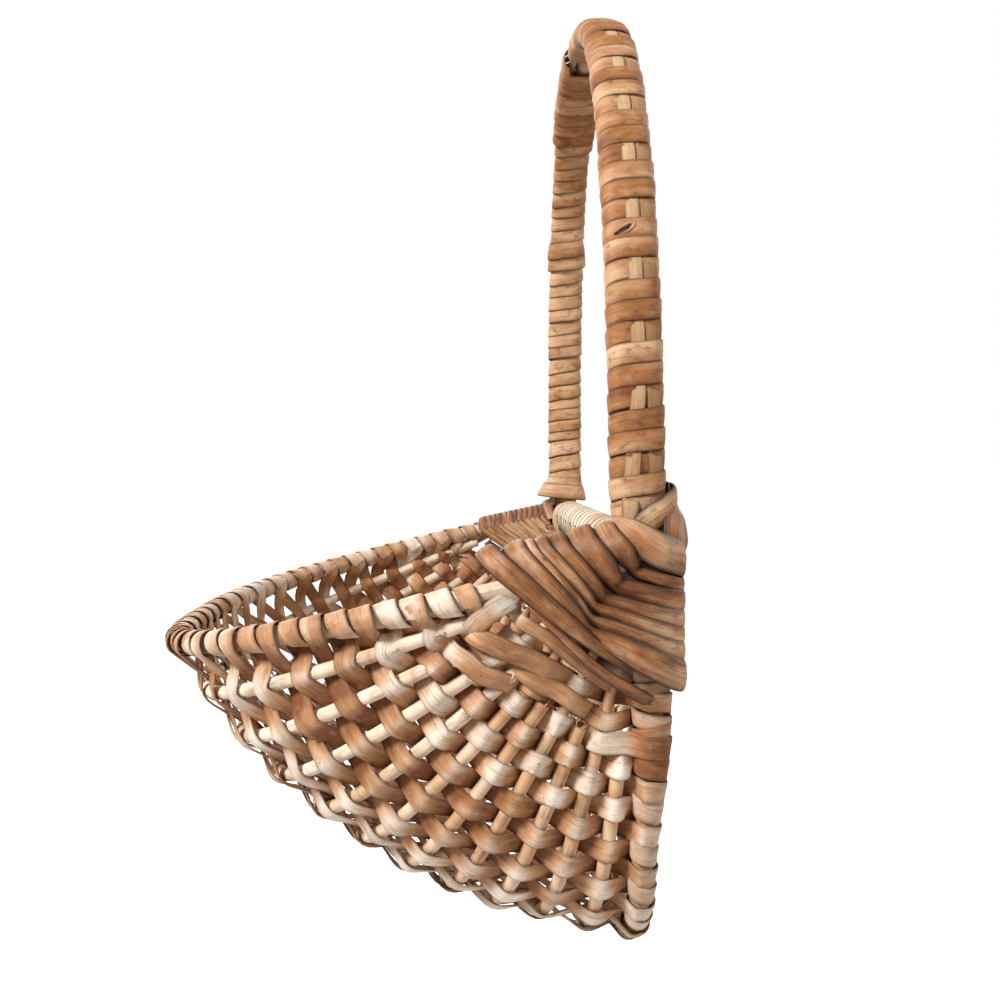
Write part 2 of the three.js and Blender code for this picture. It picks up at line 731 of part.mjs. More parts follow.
function addLashings() {
  [["near", 1], ["far", -1]].forEach(([part, side]) => {
    const name = `corner_lashing_${part}`;
    add(name, winding(name, lashingStops(side), LASHING_WIDTH, lashingLoopStops), cornerCane());
  });
}

addHoop();
addRim();
addBackBar();
addRibs();
addWeavers();
addBackRibs();
addBackWeavers();
addSideRods();
addSplints();
addHandleWraps();
addLashings();

// The hook bears under the handle's winding, so that is where the basket's own height is counted from.
basket.position.z = handleWrapUp + HALF_STRIP - ARCH_HEIGHT;

export default basket;
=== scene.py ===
"""A half-round wall basket of split willow on a bent rod frame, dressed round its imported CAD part.

Lengths in the classes are millimetres in the corner frame: X runs along the wall, -Y faces the room and
the origin is on the line through the two rim corners. Meshes are made in metres in the row frame, whose
origin is under the middle of the wrapped handle.
"""
import logging
import math
from dataclasses import dataclass, field
from enum import Enum
from typing import Sequence, TypeAlias

import bpy
import numpy as np
from mathutils import Matrix, Vector


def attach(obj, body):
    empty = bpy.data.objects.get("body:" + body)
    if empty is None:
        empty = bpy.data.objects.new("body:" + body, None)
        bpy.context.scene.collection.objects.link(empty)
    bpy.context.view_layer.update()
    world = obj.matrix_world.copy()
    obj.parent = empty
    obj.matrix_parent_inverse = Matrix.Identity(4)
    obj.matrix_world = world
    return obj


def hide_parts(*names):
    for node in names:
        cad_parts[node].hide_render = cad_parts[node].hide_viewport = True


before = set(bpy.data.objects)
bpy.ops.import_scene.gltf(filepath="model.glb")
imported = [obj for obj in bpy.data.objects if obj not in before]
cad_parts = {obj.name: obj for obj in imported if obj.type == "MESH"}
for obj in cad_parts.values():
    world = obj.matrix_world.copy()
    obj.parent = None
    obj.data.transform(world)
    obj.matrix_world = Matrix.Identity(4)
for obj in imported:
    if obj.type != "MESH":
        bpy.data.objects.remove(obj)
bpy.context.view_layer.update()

log = logging.getLogger("wall_basket")

MM = 0.001
CORNER_TO_ROW = np.array([0.0, 0.0, -214.4])
RIGHT_ANGLE = math.pi / 2
TO_WALL = np.array([0.0, 1.0, 0.0])
FULL_TURN = 2 * math.pi
CORNERS = ((1, "near"), (-1, "far"))
# How far a strand's tone moves its grain along in metres, so that no two strands match
GRAIN_SHIFT = 3.7

Numbers: TypeAlias = float | np.ndarray
Pair: TypeAlias = tuple[float, float]
Triple: TypeAlias = tuple[float, float, float]
Control: TypeAlias = tuple[Triple, Triple, float] | tuple[Triple, Triple, float, float]
Fed: TypeAlias = "Wire | bpy.types.Node | bpy.types.NodeSocket | float | tuple[float, ...]"


def srgb(code: str) -> tuple[float, float, float, float]:
    """Turns a colour written as six hexadecimal digits into the linear colour that sockets take.

    Args:
        code: the colour as it looks, such as "c9a26b".

    Returns:
        Red, green, blue and an alpha of 1.
    """
    parts = [int(code[i:i + 2], 16) / 255 for i in (0, 2, 4)]
    linear = [p / 12.92 if p <= 0.04045 else ((p + 0.055) / 1.055) ** 2.4 for p in parts]
    return (*linear, 1.0)


def unit(vectors: np.ndarray) -> np.ndarray:
    """Scales vectors in the last axis to a length of 1."""
    return vectors / np.maximum(np.linalg.norm(vectors, axis=-1, keepdims=True), 1e-12)


def signed_power(values: np.ndarray, squareness: float) -> np.ndarray:
    """Raises values to 2 / squareness and keeps their sign, as a squared-off ellipse needs."""
    return np.sign(values) * np.abs(values) ** (2 / squareness)


def blend_between(start: Numbers, end: Numbers, share: Numbers) -> Numbers:
    """Mixes two numbers or arrays by a share from 0 to 1."""
    return start + (end - start) * share


# Nodes.


class Bench:
    """A node tree on which nodes are made, set and joined by one method."""

    def __init__(self, tree: bpy.types.NodeTree) -> None:
        """Takes the shader or geometry node tree to fill."""
        self.tree = tree

    def make(self, kind: str, settings: dict | None = None, inputs: dict | None = None) -> bpy.types.Node:
        """Makes one node.

        Args:
            kind: the node's type, such as "ShaderNodeMath".
            settings: the node's own properties, set before its sockets.
            inputs: a value, Wire, socket or node for each input, by name or by index. A node
                gives its first output.

        Returns:
            The new node.
        """
        node = self.tree.nodes.new(kind)
        for name, value in (settings or {}).items():
            setattr(node, name, value)
        for key, value in (inputs or {}).items():
            socket = node.inputs[key]
            if isinstance(value, bpy.types.Node):
                value = value.outputs[0]
            if isinstance(value, Wire):
                value = value.socket
            if isinstance(value, bpy.types.NodeSocket):
                self.tree.links.new(value, socket)
            else:
                socket.default_value = value
        return node

    def wire(self, node: bpy.types.Node, output: str | int = 0) -> "Wire":
        """Wraps one of a node's outputs for arithmetic."""
        return Wire(self, node.outputs[output])

    def stored(self, name: str) -> "Wire":
        """Reads a number that the mesh stores."""
        return self.wire(self.make("ShaderNodeAttribute", {"attribute_name": name}), "Fac")

    def mix_colours(self, share: Fed, first: Fed, second: Fed) -> "Wire":
        """Mixes two colours by a share.

        Args:
            share: how much of the second colour there is.
            first: the colour at a share of 0.
            second: the colour at a share of 1.

        Returns:
            The mixed colour.
        """
        settings = {"data_type": "RGBA", "blend_type": "MIX", "clamp_factor": True}
        node = self.make("ShaderNodeMix", settings, {0: share, 6: first, 7: second})
        return self.wire(node, 2)

    def ramp(self, value: Fed, low: float, high: float) -> "Wire":
        """Turns a value into a soft step.

        Args:
            value: the value.
            low: where the step is 0.
            high: where the step is 1, which may lie below low.

        Returns:
            The step.
        """
        settings = {"interpolation_type": "SMOOTHSTEP"}
        inputs = {"Value": value, "From Min": low, "From Max": high}
        return self.wire(self.make("ShaderNodeMapRange", settings, inputs))

    def vector(self, x: Fed, y: Fed, z: Fed) -> "Wire":
        """Joins three numbers into a vector."""
        return self.wire(self.make("ShaderNodeCombineXYZ", None, {"X": x, "Y": y, "Z": z}))

    def parts(self, vector: Fed) -> tuple["Wire", "Wire"]:
        """Takes the first two numbers of a vector apart."""
        node = self.make("ShaderNodeSeparateXYZ", None, {0: vector})
        return self.wire(node, 0), self.wire(node, 1)


class Wire:
    """One socket's value, on which arithmetic adds Math nodes."""

    def __init__(self, bench: Bench, socket: bpy.types.NodeSocket) -> None:
        """Takes the bench that makes the nodes and the output socket that gives the value."""
        self.bench = bench
        self.socket = socket

    def math(self, operation: str, *others: Fed, first: "Fed | None" = None) -> "Wire":
        """Adds a Math node.

        Args:
            operation: what the node does.
            others: the values that come after this one.
            first: a value that comes before this one, where there is one.

        Returns:
            The result.
        """
        values = [self, *others] if first is None else [first, self, *others]
        inputs = dict(enumerate(values))
        return self.bench.wire(self.bench.make("ShaderNodeMath", {"operation": operation}, inputs))

    def __add__(self, other: Fed) -> "Wire":
        """This value plus another."""
        return self.math("ADD", other)

    __radd__ = __add__

    def __sub__(self, other: Fed) -> "Wire":
        """This value less another."""
        return self.math("SUBTRACT", other)

    def __rsub__(self, other: Fed) -> "Wire":
        """A number less this value."""
        return self.math("SUBTRACT", first=other)

    def __mul__(self, other: Fed) -> "Wire":
        """This value times another."""
        return self.math("MULTIPLY", other)

    __rmul__ = __mul__

    def __truediv__(self, other: Fed) -> "Wire":
        """This value divided by another."""
        return self.math("DIVIDE", other)

    def __pow__(self, power: Fed) -> "Wire":
        """This value raised to a power."""
        return self.math("POWER", power)

    def size(self) -> "Wire":
        """This value without its sign."""
        return self.math("ABSOLUTE")

    def sign(self) -> "Wire":
        """1, 0 or -1 as this value is above, at or below 0."""
        return self.math("SIGN")

    def clamped(self) -> "Wire":
        """This value held between 0 and 1."""
        return self.math("MAXIMUM", 0.0).math("MINIMUM", 1.0)


# Finishes.


class Slot(Enum):
    """The record's material slots."""

    BENT_ROD = "bent_rod"
    RIB_ROD = "rib_rod"
    WILLOW_SKEIN = "willow_skein"
    PALE_SPLINT = "pale_splint"
    HANDLE_CANE = "handle_cane"
    CORNER_CANE = "corner_cane"


@dataclass(frozen=True)
class Pattern:
    """One layer of noise on a strip.

    Args:
        along: how many times it changes in a metre along the strip.
        across: how many times it changes in a metre across the strip.
        layer: where it is read, which keeps the layers apart.
        detail: how many finer steps it has.
        roughness: how strong the finer steps are.
    """

    along: float
    across: float
    layer: float
    detail: float
    roughness: float

    def read(self, bench: Bench, run: Wire, across: Wire) -> Wire:
        """Reads the noise at a place on the strip.

        Args:
            bench: the bench that makes the nodes.
            run: the distance along the strip.
            across: the distance from its middle.

        Returns:
            The noise, about 0.5 on average.
        """
        spot = bench.vector(run * self.along, across * self.across, self.layer)
        inputs = {"Vector": spot, "Scale": 1.0, "Detail": self.detail, "Roughness": self.roughness}
        return bench.wire(bench.make("ShaderNodeTexNoise", {"noise_dimensions": "3D"}, inputs))


FIBRES = Pattern(38, 1700, 0.0, 3.0, 0.7)
CLOUDS = Pattern(42, 150, 3.0, 2.0, 0.55)
DRIFT = Pattern(9, 40, 6.0, 1.0, 0.5)
FLECKS = Pattern(210, 330, 12.0, 3.0, 0.6)
SPECKS = Pattern(420, 900, 9.0, 1.0, 0.4)


@dataclass(frozen=True)
class Steps:
    """Where the soft steps of the wood's colour begin and end."""

    inner: Pair = (0.15, -0.15)
    deep_flecks: Pair = (0.5, 0.72)
    pale_flecks: Pair = (0.5, 0.25)
    veins: Pair = (0.48, 0.74)
    specks: Pair = (0.74, 0.8)
    # Where the painted shade on the rounded shoulders begins and ends
    shoulder: Pair = (0.3, 1.0)
    # Where the painted shade on the strip's edges begins and ends
    brink_shade: Pair = (0.72, 1.04)


@dataclass(frozen=True)
class WoodFinish:
    """A peeled or split wood with its grain along the strip.

    Args:
        name: the material's name.
        slot: the record's slot that it belongs to; it is not used.
        pale: the palest colour along a strip.
        golden: the colour between the palest and the deepest.
        deep: the deepest colour along a strip.
        pith: the colour of a strip's inner side.
        vein: the colour of the dark fibres and specks, and of the painted shade on the edges.
        half_width: half the strip's width in millimetres, for the painted shade on its edges.
        roughness: how matt the wood is.
        grain: how strongly the fibres mark the colour.
        blotch: how strongly the colour changes along a strip.
        edge: how much painted shade darkens the strip's two edges.
        relief: how strongly the fibres stand out.
        pith_share: how much of the inner side's colour shows there.
        tone_reach: how far a strip's own tone carries.
        fleck: how strongly small darker flecks mark it.
        shoulder: how much painted shade darkens it towards its edges, as on a rounded strip.
        drift: how strongly the colour changes over a long stretch.
        pale_fleck: how strong the pale flecks are beside the deep ones.
        speck_strength: how strong the specks are beside the fibres.
        fibre_matt: how much the fibres change how matt it is.
        inner_matt: how much more matt the inner side is.
        relief_depth: how deep its relief is in millimetres.
        cloud_relief: how much of the relief is broad.
        shine: the strength of its mirror light.
        steps: where the soft steps of its colour lie.
    """

    name: str
    slot: Slot
    pale: str
    golden: str
    deep: str
    pith: str
    vein: str
    half_width: float
    roughness: float = 0.5
    grain: float = 0.3
    blotch: float = 0.7
    edge: float = 0.45
    relief: float = 0.25
    pith_share: float = 0.75
    tone_reach: float = 1.0
    fleck: float = 0.3
    shoulder: float = 0.15
    drift: float = 1.1
    pale_fleck: float = 0.4
    speck_strength: float = 1.5
    fibre_matt: float = 0.3
    inner_matt: float = 0.12
    relief_depth: float = 0.4
    cloud_relief: float = 0.6
    shine: float = 0.3
    steps: Steps = Steps()

    def material(self) -> bpy.types.Material:
        """Builds the material, or finds it where it has been built.

        Returns:
            The node material.
        """
        found = bpy.data.materials.get(self.name)
        if found is not None:
            return found
        made = bpy.data.materials.new(self.name)
        made.use_nodes = True
        made.node_tree.nodes.clear()
        bench = Bench(made.node_tree)
        strip = bench.make("ShaderNodeUVMap", {"uv_map": "UVMap"})
        run, across = bench.parts(strip)
        fibre = FIBRES.read(bench, run, across)
        cloud = CLOUDS.read(bench, run, across)
        inner = bench.ramp(bench.stored("face"), *self.steps.inner)
        drift = DRIFT.read(bench, run, across)
        depth = bench.stored("tone") * self.tone_reach + (cloud - 0.5) * self.blotch
        depth = (depth + (drift - 0.5) * self.drift).clamped()
        wood = bench.mix_colours((depth * 2).clamped(), srgb(self.pale), srgb(self.golden))
        wood = bench.mix_colours((depth * 2 - 1).clamped(), wood, srgb(self.deep))
        wood = bench.mix_colours(inner * self.pith_share, wood, srgb(self.pith))
        wood = self.marked(bench, wood, FLECKS.read(bench, run, across), across)
        veins = bench.ramp(fibre, *self.steps.veins) * self.grain
        specks = bench.ramp(SPECKS.read(bench, run, across), *self.steps.specks)
        marks = (veins + specks * self.grain * self.speck_strength).clamped()
        wood = bench.mix_colours(marks, wood, srgb(self.vein))
        # Painted shade: the strip's two edges darken towards the vein colour.
        brink_shade = self.from_middle(bench, across, self.steps.brink_shade)
        wood = bench.mix_colours(brink_shade * self.edge, wood, srgb(self.vein))
        matt = self.roughness + (fibre - 0.5) * self.fibre_matt + inner * self.inner_matt
        bump = bench.make("ShaderNodeBump", None, {
            "Strength": self.relief, "Distance": self.relief_depth * MM,
            "Height": fibre + cloud * self.cloud_relief,
        })
        surface = bench.make("ShaderNodeBsdfPrincipled", None, {
            "Base Color": wood, "Roughness": matt, "Normal": bump,
            "Specular IOR Level": self.shine,
        })
        bench.make("ShaderNodeOutputMaterial", None, {"Surface": surface})
        return made

    def from_middle(self, bench: Bench, across: Wire, step: Pair) -> Wire:
        """A soft step from the strip's middle towards its edges, in shares of its half width."""
        return bench.ramp(across.size(), *(self.half_width * MM * share for share in step))

    def marked(self, bench: Bench, wood: Wire, flecks: Wire, across: Wire) -> Wire:
        """Adds the deep and pale flecks and the painted shade on the shoulders.

        Args:
            bench: the bench that makes the nodes.
            wood: the colour so far.
            flecks: the noise of the flecks.
            across: the distance from the strip's middle.

        Returns:
            The colour with its marks.
        """
        deep = bench.ramp(flecks, *self.steps.deep_flecks) * self.fleck
        wood = bench.mix_colours(deep, wood, srgb(self.deep))
        pale = bench.ramp(flecks, *self.steps.pale_flecks) * self.fleck * self.pale_fleck
        wood = bench.mix_colours(pale, wood, srgb(self.pale))
        # Painted shade: the strip darkens towards its edges, as a rounded strip is shaded.
        rounding_shade = self.from_middle(bench, across, self.steps.shoulder)
        return bench.mix_colours(rounding_shade * self.shoulder, wood, srgb(self.deep))


WEAVER_FINISH = WoodFinish(
    "split_willow_skein", Slot.WILLOW_SKEIN, "f8ecdc", "bf9067", "784522", "98653a", "2c1407", 4.5,
    roughness=0.52, grain=0.55, blotch=0.95, relief=0.5, pith_share=0.3,
)
RIB_FINISH = WoodFinish(
    "peeled_rib_rod", Slot.RIB_ROD, "f1e1cb", "c49a72", "7e4a28", "e8dcc6", "3c2010", 9.0,
    roughness=0.58, grain=0.6, blotch=1.0, edge=0.0, relief=0.45, pith_share=0.0, tone_reach=0.8,
)
FRAME_FINISH = WoodFinish(
    "bent_frame_rod", Slot.BENT_ROD, "e0cbb0", "b99672", "8a6040", "e8dcc6", "4e3422", 9.0,
    roughness=0.55, grain=0.4, blotch=0.8, edge=0.0, relief=0.3, pith_share=0.0,
)
HANDLE_FINISH = WoodFinish(
    "handle_binding_cane", Slot.HANDLE_CANE, "dab38d", "a36f41", "683516", "9c6f49", "220e05", 3.9,
    roughness=0.6, grain=0.42, blotch=1.25, edge=0.75, relief=0.35, pith_share=0.3, fleck=0.6,
)
SPLINT_FINISH = WoodFinish(
    "pale_handle_splint", Slot.PALE_SPLINT, "caa984", "b18960", "8c643d", "e8dcc6", "573820", 2.6,
    roughness=0.62, grain=0.6, blotch=0.5, edge=0.6, relief=0.4, pith_share=0.0, tone_reach=0.7,
)
LASHING_FINISH = WoodFinish(
    "corner_lashing_cane", Slot.CORNER_CANE, "e0bc98", "9c6840", "44200e", "70472b", "170903", 4.0,
    roughness=0.48, grain=0.65, blotch=1.35, edge=0.95, relief=0.5, pith_share=0.4, fleck=0.45,
    shoulder=0.6,
)
BACK_FINISH = WoodFinish(
    "bleached_back_skein", Slot.WILLOW_SKEIN, "e6d8c0", "c0a27e", "8a6848", "c0a583", "3c2718", 4.2,
    grain=0.35, blotch=0.6, edge=0.5, pith_share=0.4,
)
KNOT_FINISH = WoodFinish(
    "dark_knot_slit", Slot.HANDLE_CANE, "4a2a1c", "2e180f", "180c07", "2e180f", "0c0604", 9.0,
    roughness=0.7, grain=0.2, edge=0.0, pith_share=0.0,
)


# The rods' lines.


@dataclass(frozen=True)
class BasketShape:
    """The basket's outline. It follows the CAD part and, by a few millimetres, the photograph.

    Every rod of the belly lies in a plane through the corner line, turned down from the horizontal. The
    arch is a little twisted, and the posts lean a little into the room.
    """

    rim_half_width: float = 140.0
    rim_reach: float = 200.0
    rim_squareness: float = 2.8
    rim_tilt: float = math.radians(12)
    hoop_half_width: float = 130.0
    hoop_drop: float = 156.0
    hoop_squareness: float = 5.4
    belly_fullness: float = 1.7
    arch_height: float = 224.5
    arch_squareness: float = 2.4
    arch_twist: float = 1.9
    twist_rise: float = 25.0
    post_lean: float = 2.6
    post_lean_end: float = 108.0
    rib_count: int = 10
    samples: int = 900

    def member_angle(self, index: float) -> float:
        """The plane's angle of the rim (0), a rib (1 to 10) or the hoop's foot (11)."""
        return blend_between(self.rim_tilt, RIGHT_ANGLE, index / (self.rib_count + 1))

    def belly_reach(self, angle: float) -> float:
        """How far the belly reaches from the corner line.

        Args:
            angle: the plane's angle.

        Returns:
            The distance at the middle of the wall.
        """
        forward = (math.cos(angle) / self.rim_reach) ** self.belly_fullness
        down = (math.sin(angle) / self.hoop_drop) ** self.belly_fullness
        return (forward + down) ** (-1 / self.belly_fullness)

    def member(self, index: float) -> "RodLine":
        """The line of the rim, a rib or the hoop's foot.

        Args:
            index: the rod's number, with numbers between for places between two rods.

        Returns:
            The line, from the near corner to the far one.
        """
        turns = np.linspace(0, math.pi, self.samples + 1)
        angle = self.member_angle(index)
        share = index / (self.rib_count + 1)
        half_width = blend_between(self.rim_half_width, self.hoop_half_width, share)
        squareness = blend_between(self.rim_squareness, self.hoop_squareness, share)
        reach = self.belly_reach(angle) * signed_power(np.sin(turns), squareness)
        x = half_width * signed_power(np.cos(turns), squareness)
        y, z = -reach * math.cos(angle), -reach * math.sin(angle)
        if index == self.rib_count + 1:
            y = y + self.post_lean * np.sin(math.pi * np.clip(-z / self.post_lean_end, 0, 1))
        return RodLine(np.stack([x, y, z], axis=1))

    def arch(self) -> "RodLine":
        """The line of the handle's arch.

        Returns:
            The line, from the near corner to the far one.
        """
        turns = np.linspace(0, math.pi, self.samples + 1)
        x = self.hoop_half_width * signed_power(np.cos(turns), self.arch_squareness)
        z = self.arch_height * signed_power(np.sin(turns), self.arch_squareness)
        rise = np.clip(z / self.twist_rise, 0, 1)
        y = -self.arch_twist * (x / self.hoop_half_width) * rise * rise * (3 - 2 * rise)
        return RodLine(np.stack([x, y, z], axis=1))


class RodLine:
    """A rod's centre line as dense points, addressed by its length in millimetres."""

    def __init__(self, points: np.ndarray) -> None:
        """Measures the line.

        Args:
            points: the points along it, one row each.
        """
        self.points = points
        steps = np.linalg.norm(np.diff(points, axis=0), axis=1)
        self.marks = np.concatenate([[0.0], np.cumsum(steps)])
        self.length = float(self.marks[-1])

    def at(self, lengths: Numbers) -> np.ndarray:
        """Points at one or more lengths."""
        return np.stack([np.interp(lengths, self.marks, self.points[:, k]) for k in range(3)], axis=-1)

    def direction(self, lengths: Numbers, reach: float = 1.5) -> np.ndarray:
        """The line's direction at one or more lengths.

        Args:
            lengths: the lengths.
            reach: how far before and after it the direction is taken.

        Returns:
            Unit directions.
        """
        lengths = np.asarray(lengths, float)
        before = np.clip(lengths - reach, 0, self.length)
        after = np.clip(lengths + reach, 0, self.length)
        return unit(self.at(after) - self.at(before))

    def at_share(self, share: float) -> float:
        """The length at a share of the half line: 1 at the near corner and -1 at the far one."""
        return self.length * (1 - share) / 2

    def part(self, start: float, end: float, step: float) -> np.ndarray:
        """Lengths from start to end, about a step apart."""
        return np.linspace(start, end, max(2, int(round(abs(end - start) / step)) + 1))


# Strands and the tree that sweeps them.


@dataclass
class Strand:
    """One strip or rod as a path with the way that its outer side faces.

    Args:
        points: the path in the corner frame.
        facing: the outer side's direction, at each point or one for all.
        girth: the section's scale at each point.
        tone: how deep the wood's colour is, from 0 to 1.
        tones: the same at each point, where it changes.
    """

    points: np.ndarray
    facing: np.ndarray
    girth: np.ndarray | None = None
    tone: float = 0.5
    tones: np.ndarray | None = None

    def __post_init__(self) -> None:
        """Fills in what is the same all along."""
        count = len(self.points)
        if self.facing.ndim == 1:
            self.facing = np.tile(self.facing, (count, 1))
        if self.girth is None:
            self.girth = np.ones(count)
        if self.tones is None:
            self.tones = np.full(count, self.tone)


def smooth_path(points: np.ndarray, facing: np.ndarray, per_span: int,
                extra: np.ndarray) -> tuple[np.ndarray, np.ndarray, np.ndarray]:
    """Runs a smooth curve through every point.

    Args:
        points: the points to pass through.
        facing: a direction at each point, turned smoothly between them.
        per_span: how many steps each span gets.
        extra: numbers at each point, carried along.

    Returns:
        The finer points, their directions and the finer numbers.
    """
    data = np.column_stack([points, extra])
    padded = np.vstack([2 * data[0] - data[1], data, 2 * data[-1] - data[-2]])
    turned = np.vstack([facing[0], facing, facing[-1]])
    shares = np.linspace(0, 1, per_span, endpoint=False)
    rows, ways = [], []
    for share in shares:
        weights = (
            -0.5 * share + share ** 2 - 0.5 * share ** 3,
            1 - 2.5 * share ** 2 + 1.5 * share ** 3,
            0.5 * share + 2 * share ** 2 - 1.5 * share ** 3,
            -0.5 * share ** 2 + 0.5 * share ** 3,
        )
        parts = (padded[:-3], padded[1:-2], padded[2:-1], padded[3:])
        rows.append(sum(w * p for w, p in zip(weights, parts)))
        eased = share * share * (3 - 2 * share)
        ways.append(unit(turned[1:-2] * (1 - eased) + turned[2:-1] * eased))
    fine = np.stack(rows, axis=1).reshape(-1, data.shape[1])
    fine = np.vstack([fine, data[-1]])
    faced = np.stack(ways, axis=1).reshape(-1, 3)
    faced = np.vstack([faced, facing[-1]])
    return fine[:, :3], faced, fine[:, 3:]


class SweepTree:
    """The geometry nodes that sweep a rounded section along strands.

    The section's thickness lies along each point's facing direction and its width across it.
    """

    NAME = "sweep_strands"

    def __init__(self) -> None:
        """Finds the tree, or builds it the first time."""
        self.tree = bpy.data.node_groups.get(self.NAME) or self._build()

    def _build(self) -> bpy.types.NodeTree:
        """Builds the tree with its named inputs.

        Returns:
            The node group.
        """
        tree = bpy.data.node_groups.new(self.NAME, "GeometryNodeTree")
        face = tree.interface
        face.new_socket("Geometry", in_out="INPUT", socket_type="NodeSocketGeometry")
        for name, value in (("Width", 0.007), ("Thickness", 0.001), ("Crown", 0.0), ("Boxiness", 0.5)):
            face.new_socket(name, in_out="INPUT", socket_type="NodeSocketFloat").default_value = value
        face.new_socket("Sides", in_out="INPUT", socket_type="NodeSocketInt").default_value = 12
        face.new_socket("Finish", in_out="INPUT", socket_type="NodeSocketMaterial")
        face.new_socket("Geometry", in_out="OUTPUT", socket_type="NodeSocketGeometry")
        bench = Bench(tree)
        given = bench.make("NodeGroupInput")
        width, thickness = bench.wire(given, "Width"), bench.wire(given, "Thickness")
        crown, boxiness = bench.wire(given, "Crown"), bench.wire(given, "Boxiness")

        def stored(name: str, kind: str) -> Wire:
            """Reads a named attribute."""
            node = bench.make("GeometryNodeInputNamedAttribute", {"data_type": kind}, {"Name": name})
            return bench.wire(node)

        def store(geometry: Fed, name: str, kind: str, domain: str, value: Fed) -> Wire:
            """Stores a named attribute.

            Args:
                geometry: the geometry that gets it.
                name: the attribute's name.
                kind: its data type.
                domain: what each value belongs to.
                value: its value.

            Returns:
                The geometry with the attribute.
            """
            settings = {"data_type": kind, "domain": domain}
            inputs = {"Geometry": geometry, "Name": name, "Value": value}
            return bench.wire(bench.make("GeometryNodeStoreNamedAttribute", settings, inputs))

        path = bench.make("GeometryNodeMeshToCurve", None, {"Mesh": bench.wire(given, "Geometry")})
        path = bench.make("GeometryNodeSetCurveNormal", {"mode": "FREE"}, {
            "Curve": path, "Normal": stored("facing", "FLOAT_VECTOR"),
        })
        ring = bench.make("GeometryNodeCurvePrimitiveCircle", {"mode": "RADIUS"}, {
            "Resolution": bench.wire(given, "Sides"), "Radius": 1.0,
        })
        position = bench.make("GeometryNodeInputPosition")
        up, across = bench.parts(position)
        flat = across.sign() * across.size() ** boxiness
        proud = up.sign() * up.size() ** (boxiness * 0.5 + 0.5)
        height = proud * thickness * 0.5 + crown * (1 - flat * flat)
        section = bench.make("GeometryNodeSetPosition", None, {
            "Geometry": ring, "Position": bench.vector(height, flat * width * 0.5, 0.0),
        })
        lift, aside = bench.parts(position)
        rounded = store(section, "across", "FLOAT", "POINT", aside)
        rounded = store(rounded, "face", "FLOAT", "POINT", lift / (thickness * 0.5))
        swept = bench.make("GeometryNodeCurveToMesh", None, {
            "Curve": path, "Profile Curve": rounded,
            "Scale": stored("girth", "FLOAT"), "Fill Caps": True,
        })
        strip = bench.vector(stored("run", "FLOAT"), stored("across", "FLOAT"), 0.0)
        mapped = store(swept, "UVMap", "FLOAT2", "CORNER", strip)
        smooth = bench.make("GeometryNodeSetShadeSmooth", {"domain": "FACE"}, {
            "Geometry": mapped, "Shade Smooth": True,
        })
        whole = bench.make("GeometryNodeRealizeInstances", None, {"Geometry": smooth})
        dressed = bench.make("GeometryNodeSetMaterial", None, {
            "Geometry": whole, "Material": bench.wire(given, "Finish"),
        })
        bench.make("NodeGroupOutput", None, {"Geometry": dressed})
        return tree

    def identifier(self, name: str) -> str:
        """Finds a named input.

        Args:
            name: the input's name.

        Returns:
            The identifier of its socket.
        """
        for item in self.tree.interface.items_tree:
            if item.name == name and item.in_out == "INPUT":
                return item.identifier
        raise KeyError(name)


@dataclass(frozen=True)
class Section:
    """The section of a strip or rod, in millimetres.

    Args:
        width: across the strip.
        thickness: through the strip.
        crown: how far its outer side is domed.
        boxiness: 1 for an ellipse, less for a squarer section.
        sides: how many sides the section has.
    """

    width: float
    thickness: float
    crown: float = 0.0
    boxiness: float = 1.0
    sides: int = 12


# Round sections of radius 1, which a strand's girth makes as thick as it is
UNIT_ROD = Section(2.0, 2.0)
THREAD = Section(2.0, 2.0, sides=8)


def sweep(name: str, strands: list[Strand], section: Section, finish: WoodFinish) -> bpy.types.Object:
    """Sweeps a section along strands and hands back one plain mesh object.

    Args:
        name: the piece's name.
        strands: the paths, in the corner frame.
        section: the section that is swept.
        finish: the wood's finish.

    Returns:
        The piece, with its place in its mesh.
    """
    mesh = bpy.data.meshes.new(name + "_paths")
    points = (np.vstack([s.points for s in strands]) + CORNER_TO_ROW) * MM
    edges, start = [], 0
    runs = []
    for strand in strands:
        count = len(strand.points)
        edges.extend((i, i + 1) for i in range(start, start + count - 1))
        start += count
        steps = np.linalg.norm(np.diff(strand.points, axis=0), axis=1)
        runs.append(np.concatenate([[0.0], np.cumsum(steps)]) * MM + GRAIN_SHIFT * strand.tones[0])
    mesh.from_pydata(points.tolist(), edges, [])
    floats = {
        "girth": np.concatenate([s.girth for s in strands]),
        "tone": np.concatenate([s.tones for s in strands]),
        "run": np.concatenate(runs),
    }
    for key, values in floats.items():
        mesh.attributes.new(key, "FLOAT", "POINT").data.foreach_set("value", values.astype(np.float32))
    facing = np.vstack([s.facing for s in strands]).astype(np.float32)
    mesh.attributes.new("facing", "FLOAT_VECTOR", "POINT").data.foreach_set("vector", facing.ravel())
    paths = bpy.data.objects.new(name + "_paths", mesh)
    bpy.context.scene.collection.objects.link(paths)
    sweeper = SweepTree()
    modifier = paths.modifiers.new("sweep", "NODES")
    modifier.node_group = sweeper.tree
    sizes = {"Width": section.width * MM, "Thickness": section.thickness * MM, "Crown": section.crown * MM,
             "Boxiness": section.boxiness, "Sides": section.sides, "Finish": finish.material()}
    for key, value in sizes.items():
        modifier[sweeper.identifier(key)] = value
    shown = paths.evaluated_get(bpy.context.evaluated_depsgraph_get())
    solid = bpy.data.meshes.new_from_object(shown)
    solid.name = name
    bpy.data.objects.remove(paths)
    bpy.data.meshes.remove(mesh)
    piece = bpy.data.objects.new(name, solid)
    bpy.context.scene.collection.objects.link(piece)
    return piece


